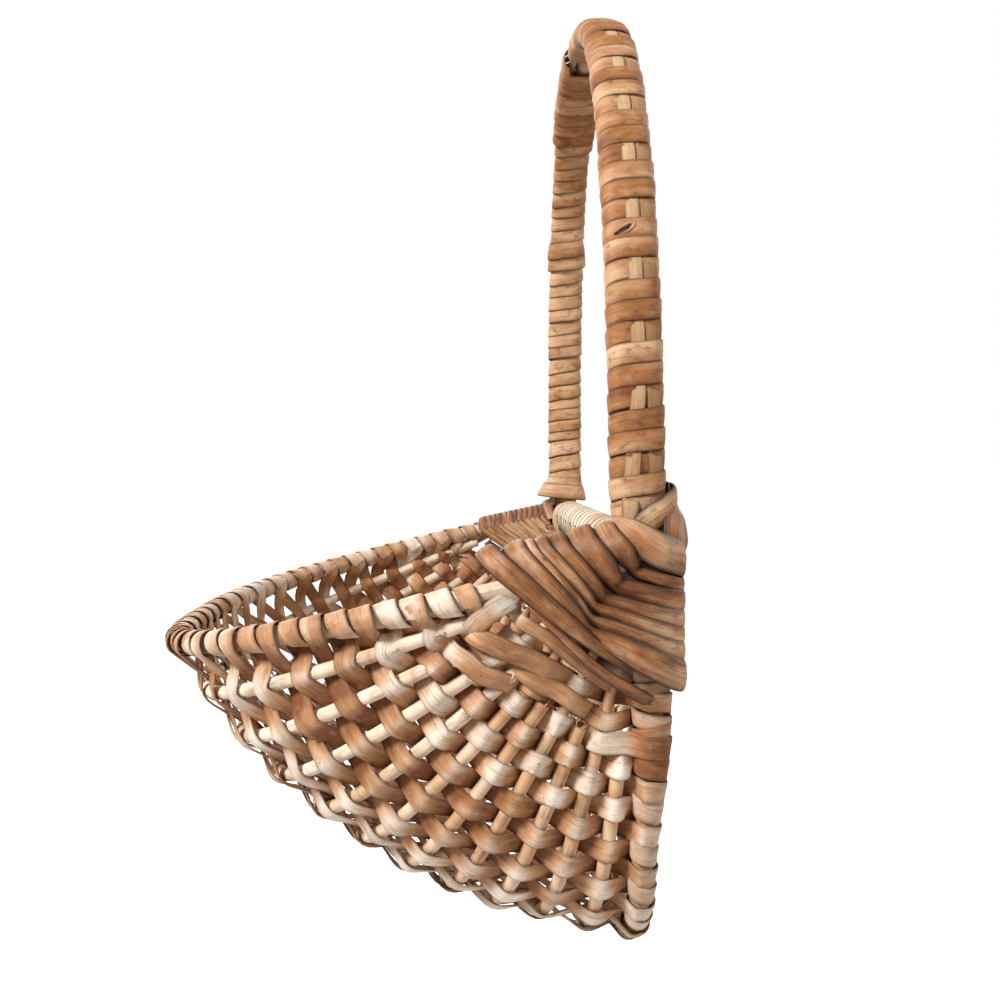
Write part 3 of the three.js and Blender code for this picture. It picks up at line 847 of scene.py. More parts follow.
def place(piece: bpy.types.Object, slot: Slot, *nodes: str) -> bpy.types.Object:
    """Lets a finished piece ride on the basket and stand for CAD nodes.

    Args:
        piece: the finished piece.
        slot: the record's slot that the piece belongs to; it is not used.
        nodes: the CAD nodes that it stands for.

    Returns:
        The same piece.
    """
    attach(piece, "root")
    if nodes:
        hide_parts(*nodes)
    log.info("%s: %d faces", piece.name, len(piece.data.polygons))
    return piece


# Frame rods and ribs.


@dataclass
class FrameRods:
    """The bent rods that carry the weave: the hoop, the rim bow and the back bar."""

    shape: BasketShape = field(default_factory=BasketShape)
    hoop_radius: float = 4.2
    rim_radius: float = 3.9
    bar_radius: float = 4.2
    rim_tail: float = 6.0
    clearance: float = 0.3
    seam: float = 0.05
    step: float = 5.0
    tones: Triple = (0.45, 0.1, 0.5)

    def rod(self, name: str, points: np.ndarray, facing: np.ndarray, radius: float,
            tone: float) -> bpy.types.Object:
        """Makes a round rod along points, with a facing direction that is square to it."""
        section = Section(2 * radius, 2 * radius, sides=18)
        return sweep(name, [Strand(points, facing, tone=tone)], section, FRAME_FINISH)

    def build(self) -> None:
        """Builds the three rods."""
        arch = self.shape.arch()
        foot = self.shape.member(self.shape.rib_count + 1)
        over = arch.at(arch.part(0, arch.length, self.step))
        under = foot.at(foot.part(foot.length, 0, self.step))
        loop = np.vstack([over[:-1], under])
        loop[-1] = loop[-1] + [0, 0, self.seam]
        hoop_tone, rim_tone, bar_tone = self.tones
        hoop = self.rod("hoop_rod_round", loop, TO_WALL, self.hoop_radius, hoop_tone)
        place(hoop, Slot.BENT_ROD, "hoop_rod")
        rim = self.shape.member(0)
        tilt = self.shape.rim_tilt
        tail = np.array([0, math.cos(tilt), math.sin(tilt)]) * self.rim_tail
        line = rim.at(rim.part(0, rim.length, self.step))
        line = np.vstack([line[0] + tail, line, line[-1] + tail])
        normal = np.array([0, math.sin(tilt), -math.cos(tilt)])
        bow = self.rod("rim_bow_round", line, normal, self.rim_radius, rim_tone)
        place(bow, Slot.BENT_ROD, "rim_bow")
        half = self.shape.hoop_half_width - self.hoop_radius - self.clearance
        points = np.array([[half, 0, 0], [0, 0, 0], [-half, 0, 0]])
        bar = self.rod("back_bar_round", points, TO_WALL, self.bar_radius, bar_tone)
        place(bar, Slot.BENT_ROD, "back_bar")


@dataclass
class FrontRibs:
    """The ribs of the belly: long ones run into the corners and short ones are let in between them."""

    shape: BasketShape = field(default_factory=BasketShape)
    radius: float = 2.65
    tip_radius: float = 1.5
    taper_start: float = 26.0
    taper_end: float = 80.0
    long_start: float = 24.0
    first_start: float = 56.0
    short_starts: tuple[float, ...] = (77.0, 61.0, 63.0, 65.0, 72.0)
    step: float = 5.0
    fibre_count: int = 9
    fibre_radius: float = 0.55
    fibre_root: float = 3.0
    fibre_places: Pair = (0.2, 0.8)
    fibre_lengths: Pair = (1.0, 5.0)
    fibre_bends: Pair = (0.2, 1.8)
    fibre_tones: Pair = (0.4, 1.0)
    tones: Pair = (0.05, 0.4)
    corner_deepening: float = 0.75
    corner_deepening_reach: float = 165.0
    wobble: float = 0.03
    wobble_length: float = 23.0
    seed: int = 11

    def start(self, index: int) -> float:
        """Finds where a rib begins.

        Args:
            index: the rib's number.

        Returns:
            Its distance from the corner.
        """
        if index == 1:
            return self.first_start
        if index % 2:
            return self.long_start
        return self.short_starts[index // 2 - 1]

    def radius_at(self, distance: Numbers, index: int) -> np.ndarray:
        """The rib's radius, as long ribs are pointed and short ones are cut off square.

        Args:
            distance: how far from the nearer corner.
            index: the rib's number.

        Returns:
            The radius at each distance.
        """
        if index % 2 == 0 or index == 1:
            return np.full(np.shape(distance), self.radius)
        share = np.clip((distance - self.taper_start) / (self.taper_end - self.taper_start), 0, 1)
        return blend_between(self.tip_radius, self.radius, share)

    def fibres(self, tip: np.ndarray, way: np.ndarray, chance: np.random.Generator) -> list[Strand]:
        """The torn fibres at a short rib's cut end.

        Args:
            tip: the middle of the cut end.
            way: the direction in which they stand out of it.
            chance: the random numbers for their places and lengths.

        Returns:
            Thin strands.
        """
        strands = []
        steps = np.linspace(0, 1, 4)[:, None]
        for _ in range(self.fibre_count):
            aside = chance.normal(0, 1, 3)
            aside = unit(aside - way * (aside @ way))
            base = tip - way * self.fibre_root + aside * self.radius * chance.uniform(*self.fibre_places)
            reach = self.fibre_root + chance.uniform(*self.fibre_lengths)
            bend = aside * chance.uniform(*self.fibre_bends)
            points = base + way * reach * steps + bend * steps ** 2
            girth = self.fibre_radius * (1.1 - steps[:, 0])
            tone = float(chance.uniform(*self.fibre_tones))
            strands.append(Strand(points, aside, girth, tone=tone))
        return strands

    def build(self) -> None:
        """Builds each rib, and the torn fibres at the short ribs' cut tips."""
        chance = np.random.default_rng(self.seed)
        for index in range(1, self.shape.rib_count + 1):
            line = self.shape.member(index)
            start = self.start(index)
            lengths = line.part(start, line.length - start, self.step)
            points = line.at(lengths)
            angle = self.shape.member_angle(index)
            normal = np.array([0, math.sin(angle), -math.cos(angle)])
            away = np.minimum(lengths, line.length - lengths)
            girth = self.radius_at(away, index)
            girth = girth * (1 + self.wobble * np.sin(lengths / self.wobble_length + index))
            # Deeper towards the corners, and more so on the lower ribs.
            near = np.clip(1 - away / self.corner_deepening_reach, 0, 1)
            tones = chance.uniform(*self.tones) + self.corner_deepening * near * index / self.shape.rib_count
            strands = [Strand(points, normal, girth=girth, tones=tones)]
            if index % 2 == 0:
                strands += self.fibres(points[0], unit(points[0] - points[1]), chance)
                strands += self.fibres(points[-1], unit(points[-1] - points[-2]), chance)
            rib = sweep(f"rib_rod_{index:02d}", strands, UNIT_ROD, RIB_FINISH)
            place(rib, Slot.RIB_ROD, f"rib_{index:02d}")


# The weave.


@dataclass
class Crossing:
    """Where a row of the weave meets a rod.

    Args:
        centre: the place on the rod's centre line.
        rod: the rod's direction.
        clear: the rod's radius.
        out: the way out of the basket, square to the rod and the row.
        side: 1 where the row passes outside the rod and -1 where it passes inside.
    """

    centre: np.ndarray
    rod: np.ndarray
    clear: float
    out: np.ndarray | None = None
    side: float = 1.0


@dataclass
class Weave:
    """Flat skeins woven over and under a row of rods, from a binding rod to the hoop's foot.

    Each skein turns one and a half times round the rods at both ends before it comes back, so the turns
    lie side by side and cover them.
    """

    shape: BasketShape = field(default_factory=BasketShape)
    rods: FrameRods = field(default_factory=FrameRods)
    section: Section = Section(8.8, 0.95, 0.14, 0.55)
    turn_swell: float = 0.98
    hug: float = 0.15
    span_steps: int = 4
    turn_step: float = math.radians(24)
    lead: float = 0.5
    first_lean: float = 1.3
    first_waist: float = 0.8
    shingle: float = 0.11
    over_lift: float = 1.0
    over_span: float = 1.3
    middle_wander: float = 0.3
    over_swell: float = 0.08
    aside_wander: float = 0.6
    twist: float = 0.12
    width_variety: float = 0.07
    tone_range: Pair = (0.25, 0.75)
    tone_variety: float = 0.5
    tone_window: int = 15
    width_window: int = 3
    # Painted highlight on the outer crossings and painted shade on the inner ones
    crossing_light: float = 0.42
    dip_shade: float = 0.2
    foot_variety: float = 0.34
    rim_variety: float = 0.08
    foot_pale: float = 0.19
    rim_pale: float = 0.1
    turn_tone: float = 0.44
    turn_evenness: float = 0.55
    row_count: int = 48
    rows_per_weaver: int = 4
    seed: int = 7

    def __post_init__(self) -> None:
        """Prepares the rods' lines and the random shifts."""
        self.lines = self.members()
        self.last = len(self.lines) - 1
        self.chance = np.random.default_rng(self.seed)

    def members(self) -> list[RodLine]:
        """The rods that the skeins cross, from the binding rod to the hoop's foot."""
        raise NotImplementedError

    def length_at(self, member: int, row: float) -> float:
        """The length along a rod at which a row crosses it."""
        raise NotImplementedError

    def radius_of(self, member: int, length: float) -> float:
        """A rod's radius at a length."""
        raise NotImplementedError

    def reached(self, member: int, length: float) -> bool:
        """Whether a rod is there at a length."""
        return True

    def outward(self, point: np.ndarray) -> np.ndarray:
        """A direction that points out of the basket at a point."""
        return point

    def crossings(self, row: float) -> list[Crossing]:
        """Where a row crosses each rod that reaches it.

        Args:
            row: the row's number, counted from the far corner.

        Returns:
            The crossings, from the binding rod to the hoop's foot.
        """
        found = []
        for member, line in enumerate(self.lines):
            length = self.length_at(member, row)
            if self.reached(member, length):
                radius = self.radius_of(member, length)
                found.append(Crossing(line.at(length), line.direction(length), radius))
        ways = unit(np.gradient(np.array([crossing.centre for crossing in found]), axis=0))
        for crossing, way in zip(found, ways):
            out = unit(np.cross(way, crossing.rod))
            crossing.out = out if out @ self.outward(crossing.centre) > 0 else -out
        return found

    def row_path(self, row: int, first_rod: int = 0) -> tuple[np.ndarray, np.ndarray, np.ndarray]:
        """A row's points between the rods at its ends, and the way its outer side faces.

        Args:
            row: the row's number.
            first_rod: the first of the reached rods that it crosses.

        Returns:
            Control points, facing directions and notes, from the binding rod to the hoop's foot. The
            notes hold how much deeper the colour is, as painted highlight where a skein crosses outside a
            rod and painted shade where it crosses inside one or dips between rods, and the width's scale,
            as it is drawn together beside the binding rod.
        """
        found = self.crossings(row)[first_rod:]
        side = 1.0 if row % 2 == 0 else -1.0
        points, facing, notes = [], [], []
        before = None
        for k, here in enumerate(found):
            here.side = side if k % 2 == 0 else -side
            if k == len(found) - 1:
                here.side = -side
            if before is not None:
                out = unit(before.out + here.out)
                lean = 0.25 * (before.side + here.side) * here.clear
                if k == 1:
                    lean += self.first_lean * before.side
                middle = (before.centre + here.centre) / 2
                points.append(middle + out * (lean + self.chance.normal(0, self.middle_wander)))
                facing.append(out * side)
                notes.append((self.dip_shade, self.first_waist if k == 1 else 1.0))
            if 0 < k < len(found) - 1:
                offset = here.clear + self.section.thickness / 2 + self.hug
                swell = 1 + abs(self.chance.normal(0, self.over_swell))
                shift = here.rod * self.chance.normal(0, self.aside_wander)
                points.append(here.centre + here.out * here.side * offset * swell + shift)
                facing.append(unit(here.out + here.rod * self.chance.normal(0, self.twist)) * side)
                # Painted highlight where the skein crosses outside a rod, painted shade where it crosses
                # inside one.
                notes.append((-self.crossing_light * here.side, 1.0))
            before = here
        return np.array(points), np.array(facing), np.array(notes)

    def turn_notes(self, points: np.ndarray) -> np.ndarray:
        """The notes of a turn's points: no deeper, and as wide as the turns are."""
        return np.tile([0.0, self.turn_swell], (len(points), 1))

    def turn_path(self, member: int, first_row: float, next_row: float, first: float,
                  last: float) -> tuple[np.ndarray, np.ndarray]:
        """Points round the rod at an end of the weave, between two angles.

        The angle is counted from straight outwards, over the side that is away from the weave.

        Args:
            member: the rod's number.
            first_row: the row number where the angle is 0.
            next_row: the row number one turn later, and from there on.
            first: the first angle.
            last: the last angle.

        Returns:
            Control points and facing directions. The turns lie like shingles, each over the edge of the
            one before it, and the skein shows its other side round the foot.
        """
        line = self.lines[member]
        neighbour = 1 if member == 0 else member - 1
        steps = max(3, int(round(abs(last - first) / self.turn_step)) + 1)
        points, facing = [], []
        for angle in np.linspace(first, last, steps):
            row = blend_between(first_row, next_row, max(angle / FULL_TURN, 0.0))
            length = self.length_at(member, row)
            centre, rod = line.at(length), line.direction(length)
            toward = self.lines[neighbour].at(self.length_at(neighbour, row)) - centre
            toward = unit(toward - rod * (toward @ rod))
            out = np.cross(toward, rod)
            if out @ self.outward(centre) < 0:
                out = -out
            spoke = out * math.cos(angle) - toward * math.sin(angle)
            radius = self.radius_of(member, length) + self.section.thickness * 0.6 + self.hug
            open_end = min(angle, 3 * math.pi - angle) / self.over_span
            points.append(centre + spoke * (radius + self.over_lift * min(max(1 - open_end, 0.0), 1.0)))
            facing.append(unit(spoke + rod * self.shingle) * (1 if member == 0 else -1))
        return np.array(points), np.array(facing)

    def weaver(self, first: int, rows: int) -> Strand:
        """One long skein with its rows and its turns.

        Args:
            first: the number of its first row.
            rows: how many rows it has.

        Returns:
            The skein as one strand.
        """
        past = 1.5 * FULL_TURN + self.lead
        points, facing = self.turn_path(0, first, first - 1, -self.lead, FULL_TURN * 1.1)
        pieces = [(points[::-1], facing[::-1], self.turn_notes(points), True)]
        for k in range(rows):
            row = first + k
            points, facing, notes = self.row_path(row)
            if k % 2:
                points, facing, notes = points[::-1], facing[::-1], notes[::-1]
            pieces.append((points, facing, notes, False))
            foot = k < rows - 1 and k % 2 == 0
            stop = FULL_TURN * 0.75 if k == rows - 1 else -self.lead
            points, facing = self.turn_path(self.last if foot else 0, row + 1, row, past, stop)
            notes = self.turn_notes(points)
            pale, variety = (self.foot_pale, self.foot_variety) if foot else (self.rim_pale, self.rim_variety)
            notes[:, 0] += self.chance.normal(-pale, variety)
            pieces.append((points, facing, notes, True))
        return self.joined(pieces)

    def joined(self, pieces: list[tuple]) -> Strand:
        """Joins rows and turns into one smooth strand.

        Args:
            pieces: points, facing directions and notes, and whether they are a turn.

        Returns:
            The strand, with its width and colour changing a little along it.
        """
        points = np.vstack([p[0] for p in pieces])
        facing = np.vstack([p[1] for p in pieces])
        notes = np.vstack([p[2] for p in pieces])
        count = len(points)
        wide = notes[:, 1] * (1 + self.chance.normal(0, self.width_variety, count))
        tones = self.chance.uniform(*self.tone_range)
        tones = tones + self.evened(self.chance.normal(0, self.tone_variety, count), self.tone_window)
        turned = np.concatenate([np.full(len(p[0]), float(p[3])) for p in pieces])
        tones = blend_between(tones, self.turn_tone, turned * self.turn_evenness)
        carried = np.column_stack([self.evened(wide, self.width_window), tones + notes[:, 0]])
        fine, faced, numbers = smooth_path(points, facing, self.span_steps, carried)
        return Strand(fine, faced, girth=numbers[:, 0], tones=np.clip(numbers[:, 1], 0, 1))

    def build_weavers(self, piece_name: str, node_name: str, finish: WoodFinish) -> None:
        """Builds each weaver.

        Args:
            piece_name: the pieces' name, with a place for the weaver's number.
            node_name: the name of the CAD nodes that they stand for, with such a place.
            finish: the wood's finish.
        """
        for number in range(self.row_count // self.rows_per_weaver):
            strand = self.weaver(number * self.rows_per_weaver, self.rows_per_weaver)
            piece = sweep(piece_name.format(number + 1), [strand], self.section, finish)
            place(piece, Slot.WILLOW_SKEIN, node_name.format(number + 1))

    @staticmethod
    def evened(values: np.ndarray, window: int) -> np.ndarray:
        """Averages values over a sliding window."""
        return np.convolve(np.pad(values, window // 2, mode="edge"), np.ones(window) / window, mode="valid")


@dataclass(frozen=True)
class LaidStrip:
    """A skein laid slantwise over the ribs beside a corner.

    Args:
        width: its width's scale.
        tone: how deep its colour is.
        marks: where it runs, each as a rib's number, a distance from the corner and a height.
    """

    width: float
    tone: float
    marks: tuple[Triple, ...]


@dataclass
class FrontWeave(Weave):
    """The belly's weave, from the rim over the ribs to the hoop's foot."""

    ribs: FrontRibs = field(default_factory=FrontRibs)
    woven_share: float = 0.755
    rim_woven_share: float = 0.805
    rim_shift: float = 1.4
    shift_fade: float = 4.0
    shift_depth: float = 1.6
    post_padding: float = 2.0
    padding_end: float = 98.0
    padding_fade: float = 30.0
    short_rows: tuple[tuple[int, int], ...] = ((48, 0), (49, 1), (50, 2), (51, 3))
    short_width: float = 0.8
    tip_room: float = 3.0
    laid_height: float = 3.4
    laid_steps: int = 6
    laid_shares: Triple = (0.1, 0.4, 1.0)
    # Painted highlight at the knuckle where each laid strip starts, a little painted shade in its middle
    laid_knuckle_light: Triple = (-0.4, 0.08, 0.0)
    laid_strips: tuple[LaidStrip, ...] = (
        LaidStrip(0.85, 0.5, (
            (0.4, 49.0, -1.0), (0.6, 55.0, 1.2), (0.85, 60.0, 1.6), (1.2, 65.0, -0.5), (1.6, 68.0, -4.5),
        )),
        LaidStrip(0.88, 0.62, (
            (0.5, 70.0, -6.0), (1.0, 68.5, -6.0), (1.6, 65.0, -0.6), (2.2, 61.0, 1.0), (3.0, 57.0, 1.3),
            (3.8, 53.8, 1.0), (5.0, 51.5, 0.8), (6.0, 51.0, -1.6), (7.0, 52.0, -6.4), (7.6, 53.0, -6.0),
        )),
        LaidStrip(0.82, 0.58, (
            (1.2, 78.0, -5.5), (1.8, 75.0, -1.2), (2.3, 72.0, 0.9), (3.0, 70.0, 1.3), (3.6, 67.0, 0.8),
            (4.3, 64.5, -2.2), (5.0, 63.0, -6.4), (5.6, 62.5, -6.0),
        )),
        LaidStrip(0.78, 0.64, (
            (2.6, 60.5, -6.0), (3.2, 60.0, -5.2), (4.0, 58.5, -0.6), (5.0, 57.5, 1.0), (6.0, 56.0, 0.6),
            (7.0, 56.5, 1.2), (7.8, 58.0, -1.4), (8.6, 59.5, -6.0),
        )),
        LaidStrip(0.55, 0.7, (
            (1.3, 50.0, -4.5), (1.8, 49.0, -0.2), (3.3, 44.5, 1.2), (5.4, 43.5, 1.6), (7.3, 45.0, 1.0),
            (8.5, 47.0, -1.0), (9.3, 48.0, -4.5),
        )),
    )

    def members(self) -> list[RodLine]:
        """The rim, the ribs and the hoop's foot."""
        return [self.shape.member(i) for i in range(self.shape.rib_count + 2)]

    def length_at(self, member: int, row: float) -> float:
        """Finds where a row crosses the rim, a rib or the foot.

        The skeins lean where they leave the rim, so they are bound to it nearer the middle.

        Args:
            member: the rod's number.
            row: the row's number.

        Returns:
            The length along the rod.
        """
        woven = self.rim_woven_share if member == 0 else self.woven_share
        middle = (self.row_count - 1) / 2
        lean = self.rim_shift * math.exp(-member / self.shift_depth)
        row = row - lean * math.tanh((row - middle) / self.shift_fade)
        share = woven * ((2 * (row + 0.5)) / self.row_count - 1)
        return self.lines[member].at_share(share)

    def from_corner(self, member: int, length: float) -> float:
        """The distance from the nearer corner."""
        return min(length, self.lines[member].length - length)

    def radius_of(self, member: int, length: float) -> float:
        """The radius of the rim, a rib or the foot, which is padded by the lashing on the posts.

        Args:
            member: the rod's number.
            length: the length along it.

        Returns:
            The radius.
        """
        if member == 0:
            return self.rods.rim_radius
        if member == self.last:
            bulk = (self.padding_end - self.from_corner(member, length)) / self.padding_fade
            return self.rods.hoop_radius + self.post_padding * min(max(bulk, 0.0), 1.0)
        return float(self.ribs.radius_at(self.from_corner(member, length), member))

    def reached(self, member: int, length: float) -> bool:
        """Whether a row meets a rod: the rim and the foot always, a rib where it has begun."""
        at_end = member in (0, self.last)
        return at_end or self.from_corner(member, length) > self.ribs.start(member) - self.tip_room

    def build(self) -> None:
        """Builds each weaver, and the short skeins beside both corners."""
        self.build_weavers("front_weaver_{:02d}", "weaver_{:02d}", WEAVER_FINISH)
        for side, corner in CORNERS:
            strands = [self.short_strip(row if side > 0 else self.row_count - 1 - row, first_rod)
                       for row, first_rod in self.short_rows]
            strands += [self.laid(strip, side) for strip in self.laid_strips]
            piece = sweep(f"{corner}_short_skeins", strands, self.section, WEAVER_FINISH)
            place(piece, Slot.WILLOW_SKEIN)

    def belly_spot(self, index: float, distance: float) -> np.ndarray:
        """A point in the belly's surface at a rib's number and a distance from the near corner."""
        return self.shape.member(index).at(distance)

    def laid(self, strip: LaidStrip, side: int) -> Strand:
        """A skein that lies slantwise over the ribs beside a corner.

        Args:
            strip: where it runs.
            side: 1 for the near corner and -1 for the far one.

        Returns:
            The strand.
        """
        points, facing = [], []
        for index, distance, height in strip.marks:
            spot = self.belly_spot(index, distance)
            down = self.belly_spot(index + 0.2, distance) - spot
            along = self.belly_spot(index, distance + 1.0) - spot
            out = unit(np.cross(down, along))
            out = out if out @ spot > 0 else -out
            points.append(spot + out * (self.laid_height + height))
            facing.append(out)
        wide = np.full((len(points), 1), strip.width)
        fine, faced, numbers = smooth_path(np.array(points), np.array(facing), self.laid_steps, wide)
        mirror = np.array([side, 1, 1])
        # Painted highlight at the strip's start and a little painted shade in its middle.
        painted_light = np.interp(np.linspace(0, 1, len(fine)), self.laid_shares, self.laid_knuckle_light)
        return Strand(fine * mirror, faced * mirror, girth=numbers[:, 0], tones=strip.tone + painted_light)

    def short_strip(self, row: int, first_rod: int) -> Strand:
        """A skein that fills in beside a corner and is bound off round the post.

        Args:
            row: its row number, beyond the full rows.
            first_rod: the first of the reached rods that it crosses; 0 begins it at the rim.

        Returns:
            The strand.
        """
        points, facing, notes = self.row_path(row, first_rod)
        pieces = [(points, facing, notes, False)]
        if first_rod == 0:
            turned, ways = self.turn_path(0, row, row - 1, -self.lead, 2.1 * FULL_TURN)
            pieces.insert(0, (turned[::-1], ways[::-1], self.turn_notes(turned), True))
        inward = 1 if row < 0 else -1
        if row % 2:
            turned, ways = self.turn_path(self.last, row, row + inward, -self.lead, 1.35 * FULL_TURN)
        else:
            turned, ways = self.turn_path(self.last, row + 1.5 * inward, row + 0.5 * inward,
                                          1.5 * FULL_TURN + self.lead, 0.15 * FULL_TURN)
        pieces.append((turned, ways, self.turn_notes(turned), True))
        strand = self.joined(pieces)
        strand.girth *= self.short_width
        return strand


@dataclass
class BackPanel(Weave):
    """The flat back: nested ribs in the hoop and skeins woven over them, bound to the back bar."""

    section: Section = Section(8.0, 0.95, 0.12, 0.55)
    rib_count: int = 4
    rib_radius: float = 2.0
    rib_step: float = 5.6
    heel_inset: float = 11.4
    rib_start: float = 4.6
    row_count: int = 18
    rows_per_weaver: int = 6
    row_inset: float = 11.7
    bar_padding: float = 3.2
    shingle: float = 0.04
    over_lift: float = 0.0
    first_lean: float = 0.0
    first_waist: float = 1.0
    turn_swell: float = 1.25
    bound_from: float = 97.5
    bound_to: float = 123.6
    bound_turns: float = 5.25
    bound_depth: float = 6.4
    bound_height: float = 9.6
    bound_drop: float = 3.9
    bound_steps: int = 20
    bound_girth: float = 0.86
    bound_variety: float = 0.03
    bound_lean: float = 0.05
    bound_tones: Triple = (0.3, 0.25, 3.1)
    rib_step_along: float = 4.0
    rib_tone: float = 0.15
    seed: int = 31

    def rib_half_width(self, rib: int) -> float:
        """Half the width of a nested rib, the 4th being the outermost."""
        return self.shape.hoop_half_width - self.heel_inset - (self.rib_count - rib) * self.rib_step

    def rib_line(self, rib: int) -> RodLine:
        """The line of a nested rib.

        Args:
            rib: the rib's number.

        Returns:
            The line, from its near end to its far end.
        """
        turns = np.linspace(0, math.pi, self.shape.samples + 1)
        drop = (self.shape.hoop_drop - self.heel_inset) * rib / self.rib_count
        x = self.rib_half_width(rib) * signed_power(np.cos(turns), self.shape.hoop_squareness)
        z = -drop * signed_power(np.sin(turns), self.shape.hoop_squareness)
        keep = z < -self.rib_start
        return RodLine(np.stack([x, 0 * x, z], axis=1)[keep])

    def members(self) -> list[RodLine]:
        """The rods that the back's skeins cross.

        Returns:
            The back bar, the nested ribs and the hoop's foot.
        """
        half = self.shape.hoop_half_width
        bar = RodLine(np.array([[half, 0, 0], [-half, 0, 0]], float))
        ribs = [self.rib_line(rib) for rib in range(1, self.rib_count + 1)]
        return [bar, *ribs, self.shape.member(self.shape.rib_count + 1)]

    def length_at(self, member: int, row: float) -> float:
        """The length at which a row crosses a rod, as the rows stand straight."""
        line = self.lines[member]
        return float(np.interp(-self.row_place(row), -line.points[:, 0], line.marks))

    def row_place(self, row: float) -> float:
        """Where a row stands along the wall, as the rows are one pitch apart."""
        return (self.rib_half_width(1) - self.row_inset) * (1 - 2 * row / (self.row_count - 1))

    def radius_of(self, member: int, length: float) -> float:
        """The radius of the bar with its binding, of a nested rib or of the foot."""
        ends = {0: self.rods.bar_radius + self.bar_padding, self.last: self.rods.hoop_radius}
        return ends.get(member, self.rib_radius)

    def outward(self, point: np.ndarray) -> np.ndarray:
        """The way to the wall."""
        return TO_WALL

    def build(self) -> None:
        """Builds the nested ribs, the weavers and the bindings of the ribs' ends."""
        section = Section(2 * self.rib_radius, 2 * self.rib_radius)
        for rib in range(1, self.rib_count + 1):
            line = self.lines[rib]
            points = line.at(line.part(0, line.length, self.rib_step_along))
            strand = Strand(points, TO_WALL, tone=self.rib_tone * rib)
            piece = sweep(f"back_rib_rod_{rib}", [strand], section, RIB_FINISH)
            place(piece, Slot.RIB_ROD, f"back_rib_{rib}")
        self.build_weavers("back_skein_{}", "back_weaver_{}", BACK_FINISH)
        for side, corner in CORNERS:
            piece = sweep(f"{corner}_bar_binding", [self.bound_end(side)], self.section, BACK_FINISH)
            place(piece, Slot.WILLOW_SKEIN)

    def bound_end(self, side: int) -> Strand:
        """The strip that binds the nested ribs' ends to the bar beside a corner.

        Args:
            side: 1 for the near corner and -1 for the far one.

        Returns:
            The strand.
        """
        share = np.linspace(0, 1, int(self.bound_turns * self.bound_steps) + 1)
        angle = share * self.bound_turns * FULL_TURN
        swell = self.chance.normal(1, self.bound_variety, len(share))
        x = side * blend_between(self.bound_from, self.bound_to, share)
        y = self.bound_depth * np.sin(angle)
        z = self.bound_height * np.cos(angle) - self.bound_drop
        outer = unit(np.stack([y / self.bound_depth ** 2, (z + self.bound_drop) / self.bound_height ** 2],
                              axis=1))
        facing = unit(np.column_stack([np.full(len(x), -self.bound_lean * side), outer]))
        tone, change, rate = self.bound_tones
        tones = tone + change * np.sin(rate * angle / FULL_TURN)
        girth = self.bound_girth * self.evened(swell, 5)
        return Strand(np.stack([x, y, z], axis=1), facing, girth=girth, tones=tones)


# The corner lashings.


@dataclass(frozen=True)
class LashingTurn:
    """One turn of a corner lashing: over the rim, down across the rib tips and round the post.

    Args:
        ridge: how far from the corner it crosses the rim.
        ridge_width: its width there.
        crease: how far forward and how far down it folds.
        crease_width: its width at the fold.
        post: how far down it goes round the post.
        post_width: its width there.
        lift: how far it lies over the turns before it.
    """

    ridge: float
    ridge_width: float
    crease: Pair
    crease_width: float
    post: float
    post_width: float
    lift: float = 0.0


@dataclass(frozen=True)
class LooseStrip:
    """A strip of a lashing that lies beside or over its turns.

    Args:
        tone: how deep its colour is at the start.
        deepen: how much deeper it is at the end.
        controls: its points, each with a facing direction and a width.
    """

    tone: float
    deepen: float
    controls: tuple[Control, ...]


# The last turn, whose end is torn off over the rim and tucked under the wide turn
TORN_END = LooseStrip(0.5, 0.1, (
    ((137.2, -57.2, 3.6), (0.2, -0.55, 0.85), 7.0),
    ((141.6, -56.0, 2.6), (0.55, -0.55, 0.65), 8.0),
    ((146.4, -52.2, -0.6), (0.85, -0.45, 0.3), 8.6),
    ((149.3, -45.0, -6.9), (1, -0.35, 0.0), 8.4),
    ((149.0, -33.9, -16.7), (1, -0.3, -0.15), 7.4),
    ((147.2, -23.3, -25.8), (0.95, -0.25, -0.3), 6.0),
    ((145.0, -13.5, -33.4), (0.95, -0.1, -0.3), 4.4),
    ((142.0, -6.0, -39.0), (0.95, 0, -0.3), 3.4),
))
# The broad strip over the handle's foot, and the three strips beside it
BROAD_WRAP = LooseStrip(0.36, 0.08, (
    ((124.0, -12.0, -2.0), (-1, 0, 0.2), 5.0),
    ((130.0, -14.0, 8.5), (-0.5, -0.2, 0.85), 6.0),
    ((137.5, -11.5, 12.9), (0.2, -0.1, 0.98), 8.0),
    ((143.6, -5.8, 9.2), (0.85, -0.1, 0.55), 10.5),
    ((146.8, 1.4, 3.8), (1, 0.05, 0.2), 12.4),
    ((143.8, 9.0, 0.6), (0.75, 0.65, 0.1), 13.0),
    ((137.0, 12.2, -0.8), (0.05, 1, 0), 13.0),
    ((128.5, 10.4, -1.5), (-0.75, 0.65, 0), 12.0),
    ((124.5, 2.0, -3.0), (-1, 0, 0), 10.0),
))
OUTER_WRAP = LooseStrip(0.4, 0.1, (
    ((127.5, 7.4, 24.0), (-0.85, 0.5, 0), 5.0),
    ((130.5, 10.0, 21.5), (0.3, 0.95, 0.2), 7.5),
    ((136.6, 9.9, 14.0), (0.85, 0.5, 0.1), 10.0),
    ((140.2, 9.4, 5.0), (0.9, 0.4, -0.1), 10.5),
    ((138.6, 8.0, -4.0), (0.7, 0.7, -0.3), 7.0),
))
